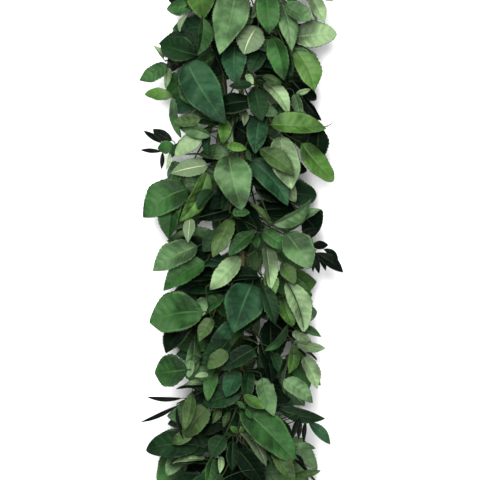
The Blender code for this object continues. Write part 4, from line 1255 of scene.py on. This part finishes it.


# Specular level of the tones that are duller than the rest, and the sRGB colours that the tones are blended
# with, among them the grey of the painted sheen, which also tints the thin pale vein lines
SHEENS = {"deep": 0.01, "black": 0.04, "dark": 0.04, "blue": 0.05}
USUAL_SHEEN = 0.07
SHEEN_AND_VEIN_GREY = (0.58, 0.64, 0.52)
GREY_BACK = (0.38, 0.44, 0.33)
EDGE_SHADE_GREEN = (0.04, 0.07, 0.02)
SPOT_BROWN = (0.34, 0.26, 0.13)
BACK_VEIN = (0.36, 0.45, 0.28)
BACK_RIB = (0.68, 0.73, 0.55)


def shade(colour, factor):
    return tuple(min(1.0, part * factor) for part in colour)


def blend(colour, other, factor):
    return tuple((1.0 - factor) * part + factor * more for part, more in zip(colour, other))


def leaf_material(tone, colour, look):
    """A leathery blade: pale midrib, sunken side veins, dappled green between, a paler matt underside.
    Painted shade darkens one half, the base, broad patches, the side veins, the edge and where leaves crowd;
    painted sheen pales the parts beside the midrib, the tip and other broad patches.
    """
    graph = Graph("leaf_" + tone)
    ramp, times = graph.ramp, graph.times
    tint, under, share, patch = graph.marks()
    veins = graph.node("UVMap", uv_map="veins")
    across_leaf, along_veins, _ = graph.node("SeparateXYZ", {0: veins}).node.outputs
    place = graph.place()
    blotch = graph.noise(place, 42.0)
    dapple = graph.noise(place, 95.0, 2.0)
    grain = graph.noise(place, 420.0, 2.0)
    speckle = graph.noise(place, 130.0)
    # A broad noise that places the patches of painted shade and painted sheen
    sweep_inputs = {"Vector": place, "W": times(patch, 9.0), "Scale": 26.0, "Detail": 1.0}
    sweep = graph.node("TexNoise", sweep_inputs, noise_dimensions="4D")
    cells = graph.node("TexVoronoi", {"Vector": place, "Scale": 560.0}, feature="DISTANCE_TO_EDGE")

    # Distance from the midrib (0) to the edge (1), and from a side vein (0) to the middle between two (0.5)
    offset = graph.math("SUBTRACT", across_leaf, 0.5)
    across = times(graph.math("ABSOLUTE", offset), 2.0)
    bent = graph.math("ADD", along_veins, ramp(dapple, 0.2, 0.8, 0.32, 0.68))
    off_vein = graph.math("ABSOLUTE", graph.math("SUBTRACT", graph.math("FRACT", bent), 0.5))

    # Where each feature of the face lies, the painted shade and painted sheen among them
    midrib = ramp(across, 0.075, 0.025)
    side_vein = times(ramp(off_vein, 0.085, 0.015), ramp(across, 0.95, 0.45, 0.0, 1.0))
    thread = times(ramp(off_vein, 0.045, 0.015), ramp(across, 0.85, 0.35, 0.0, 0.30))
    net = ramp(cells, 0.16, 0.02)
    # Painted shade: one half of the blade, picked by the patch mark, darkened as if the fold shaded it
    half = ramp(times(offset, ramp(patch, 0.49, 0.51, -1.0, 1.0)), -0.03, 0.03)
    # Painted sheen: pale patches beside the midrib, between the side veins
    beside = times(
        ramp(across, 0.80, 0.15), ramp(blotch, 0.34, 0.60), ramp(off_vein, 0.02, 0.30, 0.15, 1.0),
        ramp(patch, 0.45, 0.95, 0.08, 0.70))
    # Painted light: the blade turns paler toward its tip
    outer = times(
        ramp(share, 0.35, 0.95), ramp(patch, 0.0, 0.5, 0.34, 0.10), ramp(blotch, 0.30, 0.60, 0.55, 1.0))
    # Painted shade: the blade darkens toward its base, where it lies under other leaves
    inner = times(ramp(share, 0.62, 0.0), ramp(tint, 0.0, 1.0, 0.95, 0.45))
    between = times(ramp(off_vein, 0.12, 0.45), ramp(blotch, 0.40, 0.62, 0.0, 0.28))
    rim = times(ramp(across, 0.80, 0.90), ramp(across, 0.99, 0.93), ramp(blotch, 0.40, 0.60, 0.06, 0.34))
    spots = times(ramp(speckle, 0.70, 0.76), ramp(tint, 0.6, 0.9), 0.6)

    # The darkest copy is the colour of the painted shade; the duller and fresher copies vary the green at
    # random
    deep, dull, fresh = (linear(shade(colour, factor)) for factor in (0.44, 0.74, 1.22))
    # The pale grey-green of the painted sheen, also used for the thin pale vein lines
    grey_share = min(1.0, sum(colour) / 0.9)
    light = linear(tuple(0.66 * part + 0.34 * grey * grey_share for part, grey in zip(colour, SHEEN_AND_VEIN_GREY)))
    pale = linear((0.22 + 0.70 * colour[0], 0.24 + 0.70 * colour[1], 0.17 + 0.70 * colour[2]))
    reverse = graph.layered(
        linear(blend(colour, GREY_BACK, 0.55)),
        (times(side_vein, 0.35), linear(BACK_VEIN)),
        (times(midrib, 0.65), linear(BACK_RIB)),
        (ramp(blotch, 0.3, 0.7, 0.0, 0.45), linear(colour)),
    )
    face = reverse if tone == "under" else graph.layered(
        linear(shade(colour, 0.86)),
        (ramp(blotch, 0.30, 0.66), linear(colour)),
        (ramp(tint, 0.0, 1.0, 0.0, 0.55), graph.mix(patch, fresh, dull)),
        (times(half, ramp(tint, 0.25, 0.95, 0.10, 0.65)), deep),
        (beside, light),
        (outer, light),
        (inner, deep),
        (between, fresh),
        (times(net, 0.14), fresh),
        # Painted shade and painted sheen in broad soft patches across the face
        (ramp(sweep, 0.53, 0.36, 0.0, 0.72), deep),
        (ramp(sweep, 0.49, 0.64, 0.0, 0.58), light),
        # Painted shade in the sunken side veins
        (times(side_vein, 0.14), deep),
        (thread, light),
        (times(midrib, ramp(share, 0.0, 0.9, 0.42, 0.10)), pale),
        (rim, pale),
        # Painted shade: a dark line along the blade's edge
        (ramp(across, 0.91, 0.98, 0.0, 0.88), linear(EDGE_SHADE_GREEN)),
        (spots, linear(SPOT_BROWN)),
    )
    # Painted shade: a blade darkens where other leaves crowd close round it, found by ambient occlusion
    open_to_light = graph.node("AmbientOcclusion", {"Distance": look.crowding}, out=1, samples=4)
    skin = graph.layered(
        face,
        (ramp(under, 0.45, 0.55), reverse),
        (ramp(open_to_light, 0.18, 0.68, 0.92, 0.0), linear(shade(colour, 0.14))),
    )

    rough = ramp(grain, 0.3, 0.7, look.roughness - 0.07, look.roughness + 0.09)
    rough = graph.math("ADD", rough, times(under, 0.22))
    height = times(side_vein, -0.45)
    for relief, depth in ((net, -0.12), (grain, 0.12), (dapple, look.crinkle)):
        height = graph.math("ADD", height, times(relief, depth))
    height = times(height, graph.math("SUBTRACT", 1.0, times(under, 1.7)))
    return graph.finish(skin, rough, height, 0.0011, SHEENS.get(tone, USUAL_SHEEN))


def stem_material(colour):
    """Green bark with pale lengthwise streaks, browner where a tube's tint mark is low, as on the main stem.
    """
    graph = Graph("stem_green")
    tint = graph.marks()[0]
    place = graph.place()
    stretched = graph.node("Mapping", {0: place, 3: (1.0, 0.12, 1.0)})
    streak = graph.noise(stretched, 900.0)
    blotch = graph.noise(place, 140.0)
    bark = graph.layered(
        linear((0.10, 0.11, 0.06)),
        (graph.ramp(tint, 0.15, 0.5), linear(colour)),
        (graph.ramp(blotch, 0.4, 0.7, 0.0, 0.5), linear((0.11, 0.21, 0.08))),
        (graph.ramp(streak, 0.35, 0.7, 0.0, 0.15), linear((0.30, 0.34, 0.18))),
    )
    return graph.finish(bark, graph.ramp(blotch, 0.3, 0.7, 0.45, 0.65), streak, 0.0003, 0.08)


def jute_material(colour):
    """Dull tan fibres laid along each strand, with painted shade in the hollows between them and stray pale
    hairs.
    """
    graph = Graph("jute")
    place = graph.place()
    veins = graph.node("UVMap", uv_map="veins")
    stretched = graph.node("Mapping", {0: veins, 3: (26.0, 1.6, 1.0)})
    fibre = graph.noise(stretched, 3.0, 5.0, 0.7)
    dirt = graph.noise(place, 60.0)
    tan = graph.layered(
        # Painted shade: a darker copy of the tan lies between the fibres
        linear(shade(colour, 0.6)),
        (graph.ramp(fibre, 0.3, 0.7), linear(colour)),
        (graph.ramp(dirt, 0.45, 0.75, 0.0, 0.4), linear((0.36, 0.34, 0.20))),
        (graph.ramp(fibre, 0.66, 0.74, 0.0, 0.6), linear((0.80, 0.70, 0.50))),
    )
    return graph.finish(tan, graph.ramp(fibre, 0.3, 0.7, 0.80, 0.95), fibre, 0.0008)


def wire_material(colour):
    """Green enamel, scratched to steel in places."""
    graph = Graph("green_wire")
    place = graph.place()
    scratch = graph.ramp(graph.noise(place, 700.0, 4.0), 0.64, 0.70)
    coat = graph.mix(graph.noise(place, 90.0), linear(shade(colour, 0.8)), linear(shade(colour, 1.2)))
    coat = graph.mix(scratch, coat, linear((0.48, 0.48, 0.46)))
    return graph.finish(coat, graph.ramp(scratch, 0.0, 1.0, 0.38, 0.30), scratch, -0.0001)


def floor_material(colour):
    """Matt white paint with a faint roller texture."""
    graph = Graph("studio_floor")
    place = graph.place()
    mottle = graph.noise(place, 3.0)
    paint = graph.mix(mottle, linear(shade(colour, 0.985)), linear(colour))
    return graph.finish(paint, graph.ramp(mottle, 0.3, 0.7, 0.80, 0.9), graph.noise(place, 500.0), 0.0002)


def number(label, words, default, **more):
    """The field of a plain number on the panel."""
    return bpy.props.FloatProperty(name=label, description=words, default=default, **more)


def size(label, words, default):
    return number(label, words, default, min=0.0, precision=5, subtype="DISTANCE", unit="LENGTH")


def power(label, words, default):
    return number(label, words, default, min=0.0, subtype="POWER")


def colour(label, words, default):
    return bpy.props.FloatVectorProperty(
        name=label, description=words, default=default, size=3, min=0.0, max=1.0, subtype="COLOR_GAMMA")


class GarlandLeafSettings(bpy.types.PropertyGroup):
    """Relief and gloss of every blade, and the reach of its painted shade."""
    tooth_depth: size("Tooth depth", "How deep the teeth along a blade's edge are", 0.0012)
    puff_height: size("Puff height", "How far a blade rises between its side veins", 0.0012)
    rib_height: size("Rib height", "How far the midrib stands out of a blade's underside", 0.0006)
    blade_thickness: size("Blade thickness", "Thickness of a blade beside its midrib", 0.0005)
    roughness: number("Roughness", "Roughness of a blade's upper face", 0.42, min=0.0, max=1.0)
    # Reach of the painted shade where other leaves crowd round a blade
    crowding: size("Crowding", "How near other leaves are where they darken a blade", 0.045)
    crinkle: number("Crinkle", "How strongly a blade's face is crinkled", 3.2, min=0.0)


def tone_field(tone, value):
    owner = "stems" if tone == "twig" else f"{tone} leaves"
    return colour(tone.capitalize(), f"Colour of the {owner}", value)


class GarlandToneSettings(bpy.types.PropertyGroup):
    """The colour of each tone of leaf and of the stems."""
    __annotations__ = {tone: tone_field(tone, value) for tone, value in TONE_COLOURS.items()}


class GarlandBindingSettings(bpy.types.PropertyGroup):
    """The rope and the wire."""
    strand_pitch: size("Strand pitch", "Length of one turn of a strand of the rope", 0.022)
    rope_colour: colour("Rope", "Colour of the jute rope", (0.44, 0.38, 0.24))
    wire_colour: colour("Wire", "Colour of the binding wire's enamel", (0.12, 0.27, 0.13))


# The lights' places and widths, in metres
KEY_PLACE = (-0.38, 0.9, 2.35)
KEY_WIDTH = 1.3
FILL_PLACE = (0.2, -0.2, 2.6)
FILL_WIDTH = 1.8


class GarlandStageSettings(bpy.types.PropertyGroup):
    """Floor, light and camera."""
    floor_colour: colour("Floor", "Colour of the floor", (0.97, 0.97, 0.97))
    floor_size: size("Floor size", "Side of the square floor", 9.0)
    seen_width: size("Seen width", "Width that the camera sees at the leaves' height", 0.744)
    camera_height: size("Camera height", "Height of the camera above the leaves", 3.2)
    key_power: power("Key light", "Power of the soft light at the upper left", 126.0)
    fill_power: power("Fill light", "Power of the large light above", 58.0)
    sky_strength: number("Sky", "Strength of the light from all round", 0.05, min=0.0)


class GARLAND_OT_rope(bpy.types.Operator):
    """Twists three jute strands in the place of the core rope"""
    bl_idname = "garland.rope"
    bl_label = "Twist rope"

    def execute(self, context):
        settings = context.scene.garland_binding
        piece = Piece("twisted_rope")
        low, high = -0.5 * LENGTH + ROPE_FOOT, 0.5 * LENGTH
        turns = (high - low) / settings.strand_pitch
        share = np.linspace(0.0, 1.0, int(turns * STRAND_STEPS))
        for strand in range(STRANDS):
            turn = math.tau * (turns * share + strand / STRANDS)
            path = helix(STRAND_OFFSET, turn, high + (low - high) * share)
            piece.add_tube(path, np.full(len(path), ROPE_RADIUS - STRAND_OFFSET), STRAND_SIDES, "jute")
        made = piece.finish(layout_shift(), {"jute": jute_material(settings.rope_colour)})
        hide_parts("core_rope")
        return {"FINISHED"}


class GARLAND_OT_wire(bpy.types.Operator):
    """Winds the smooth round wire in the place of the binding wire"""
    bl_idname = "garland.wire"
    bl_label = "Wind wire"

    def execute(self, context):
        corners = wire_path()
        turn = math.tau * np.arange((len(corners) - 1) * WIRE_STEPS + 1) / (WIRE_STEPS * WIRE_TURN_SIDES)
        path = helix(WIRE_RING, turn, corners[0].y - WIRE_PITCH * turn / math.tau)
        piece = Piece("smooth_wire")
        piece.add_tube(path, np.full(len(path), WIRE_RADIUS), WIRE_SIDES, "wire")
        coat = wire_material(context.scene.garland_binding.wire_colour)
        made = piece.finish(layout_shift(), {"wire": coat})
        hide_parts("binding_wire")
        return {"FINISHED"}


class GARLAND_OT_sprays(bpy.types.Operator):
    """Grows the fine leaves, stalks and stem of every spray in the place of its solid"""
    bl_idname = "garland.sprays"
    bl_label = "Grow sprays"

    def execute(self, context):
        look = context.scene.garland_leaf
        tones = context.scene.garland_tones
        materials = {"twig": stem_material(tuple(tones.twig))}
        for tone in TONE_COLOURS:
            if tone != "twig":
                materials[tone] = leaf_material(tone, tuple(getattr(tones, tone)), look)
        sprays = lay_out()
        if sorted(SLOT_OF) != sorted([spray.name for spray in sprays] + ["core_rope", "binding_wire"]):
            raise RuntimeError("the sprays laid out here are not the nodes of the packed part")
        for spray in sprays:
            spray_piece(spray, look, layout_shift(), materials)
        return {"FINISHED"}


class GARLAND_OT_stage(bpy.types.Operator):
    """Sets the pale floor, the soft lights and the camera that looks straight down"""
    bl_idname = "garland.stage"
    bl_label = "Set stage"

    def execute(self, context):
        settings = context.scene.garland_stage
        half = 0.5 * settings.floor_size
        mesh = bpy.data.meshes.new("studio_floor")
        corners = [(-half, -half, 0), (half, -half, 0), (half, half, 0), (-half, half, 0)]
        mesh.from_pydata(corners, [], [(0, 1, 2, 3)])
        mesh.materials.append(floor_material(settings.floor_colour))
        floor = bpy.data.objects.new("studio_floor", mesh)
        context.scene.collection.objects.link(floor)

        shift = layout_shift()
        centre = Vector((shift.x + CAMERA_OFFSET * STEP, shift.y, LEAF_HEIGHT))
        camera = bpy.data.cameras.new("camera")
        camera.lens = camera.sensor_width * settings.camera_height / settings.seen_width
        made = bpy.data.objects.new("camera", camera)
        made.location = centre + Vector((0, 0, settings.camera_height))
        context.scene.collection.objects.link(made)
        context.scene.camera = made

        for name, power, place, width in (
            ("key_light", settings.key_power, KEY_PLACE, KEY_WIDTH),
            ("fill_light", settings.fill_power, FILL_PLACE, FILL_WIDTH),
        ):
            light = bpy.data.lights.new(name, "AREA")
            light.energy = power
            light.size = width
            lamp = bpy.data.objects.new(name, light)
            lamp.location = place
            lamp.rotation_euler = (centre - lamp.location).to_track_quat("-Z", "Y").to_euler()
            context.scene.collection.objects.link(lamp)
        world = bpy.data.worlds.new("studio")
        world.use_nodes = True
        sky = world.node_tree.nodes["Background"].inputs
        sky["Color"].default_value = (1.0, 1.0, 1.0, 1.0)
        sky["Strength"].default_value = settings.sky_strength
        context.scene.world = world
        context.scene.view_settings.view_transform = "Standard"
        return {"FINISHED"}


class GARLAND_PT_panel(bpy.types.Panel):
    """Lists the garland's sizes, colours and steps"""
    bl_idname = "GARLAND_PT_panel"
    bl_label = "Foliage garland"
    bl_space_type = "VIEW_3D"
    bl_region_type = "UI"
    bl_category = "Garland"

    def draw(self, context):
        for name, group in SETTINGS.items():
            box = self.layout.box()
            box.label(text=group.__doc__)
            for field in group.__annotations__:
                box.prop(getattr(context.scene, name), field)
        for operator in OPERATORS:
            self.layout.operator(operator.bl_idname)


SETTINGS = {
    "garland_leaf": GarlandLeafSettings,
    "garland_tones": GarlandToneSettings,
    "garland_binding": GarlandBindingSettings,
    "garland_stage": GarlandStageSettings,
}
OPERATORS = (GARLAND_OT_rope, GARLAND_OT_wire, GARLAND_OT_sprays, GARLAND_OT_stage)


def register():
    for name, group in SETTINGS.items():
        bpy.utils.register_class(group)
        setattr(bpy.types.Scene, name, bpy.props.PointerProperty(type=group))
    for kind in OPERATORS + (GARLAND_PT_panel,):
        bpy.utils.register_class(kind)


def unregister():
    for kind in (GARLAND_PT_panel,) + OPERATORS[::-1]:
        bpy.utils.unregister_class(kind)
    for name, group in SETTINGS.items():
        delattr(bpy.types.Scene, name)
        bpy.utils.unregister_class(group)


def layout_shift():
    """From the layout's own places to the packed part's, by the rope."""
    low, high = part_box("core_rope")
    middle = 0.5 * (low + high)
    return Vector((middle.x, high.y - 0.5 * LENGTH, middle.z - AXIS_HEIGHT))


def main():
    register()
    bpy.ops.garland.rope()
    bpy.ops.garland.wire()
    bpy.ops.garland.sprays()
    bpy.ops.garland.stage()


if __name__ == "__main__":
    main()
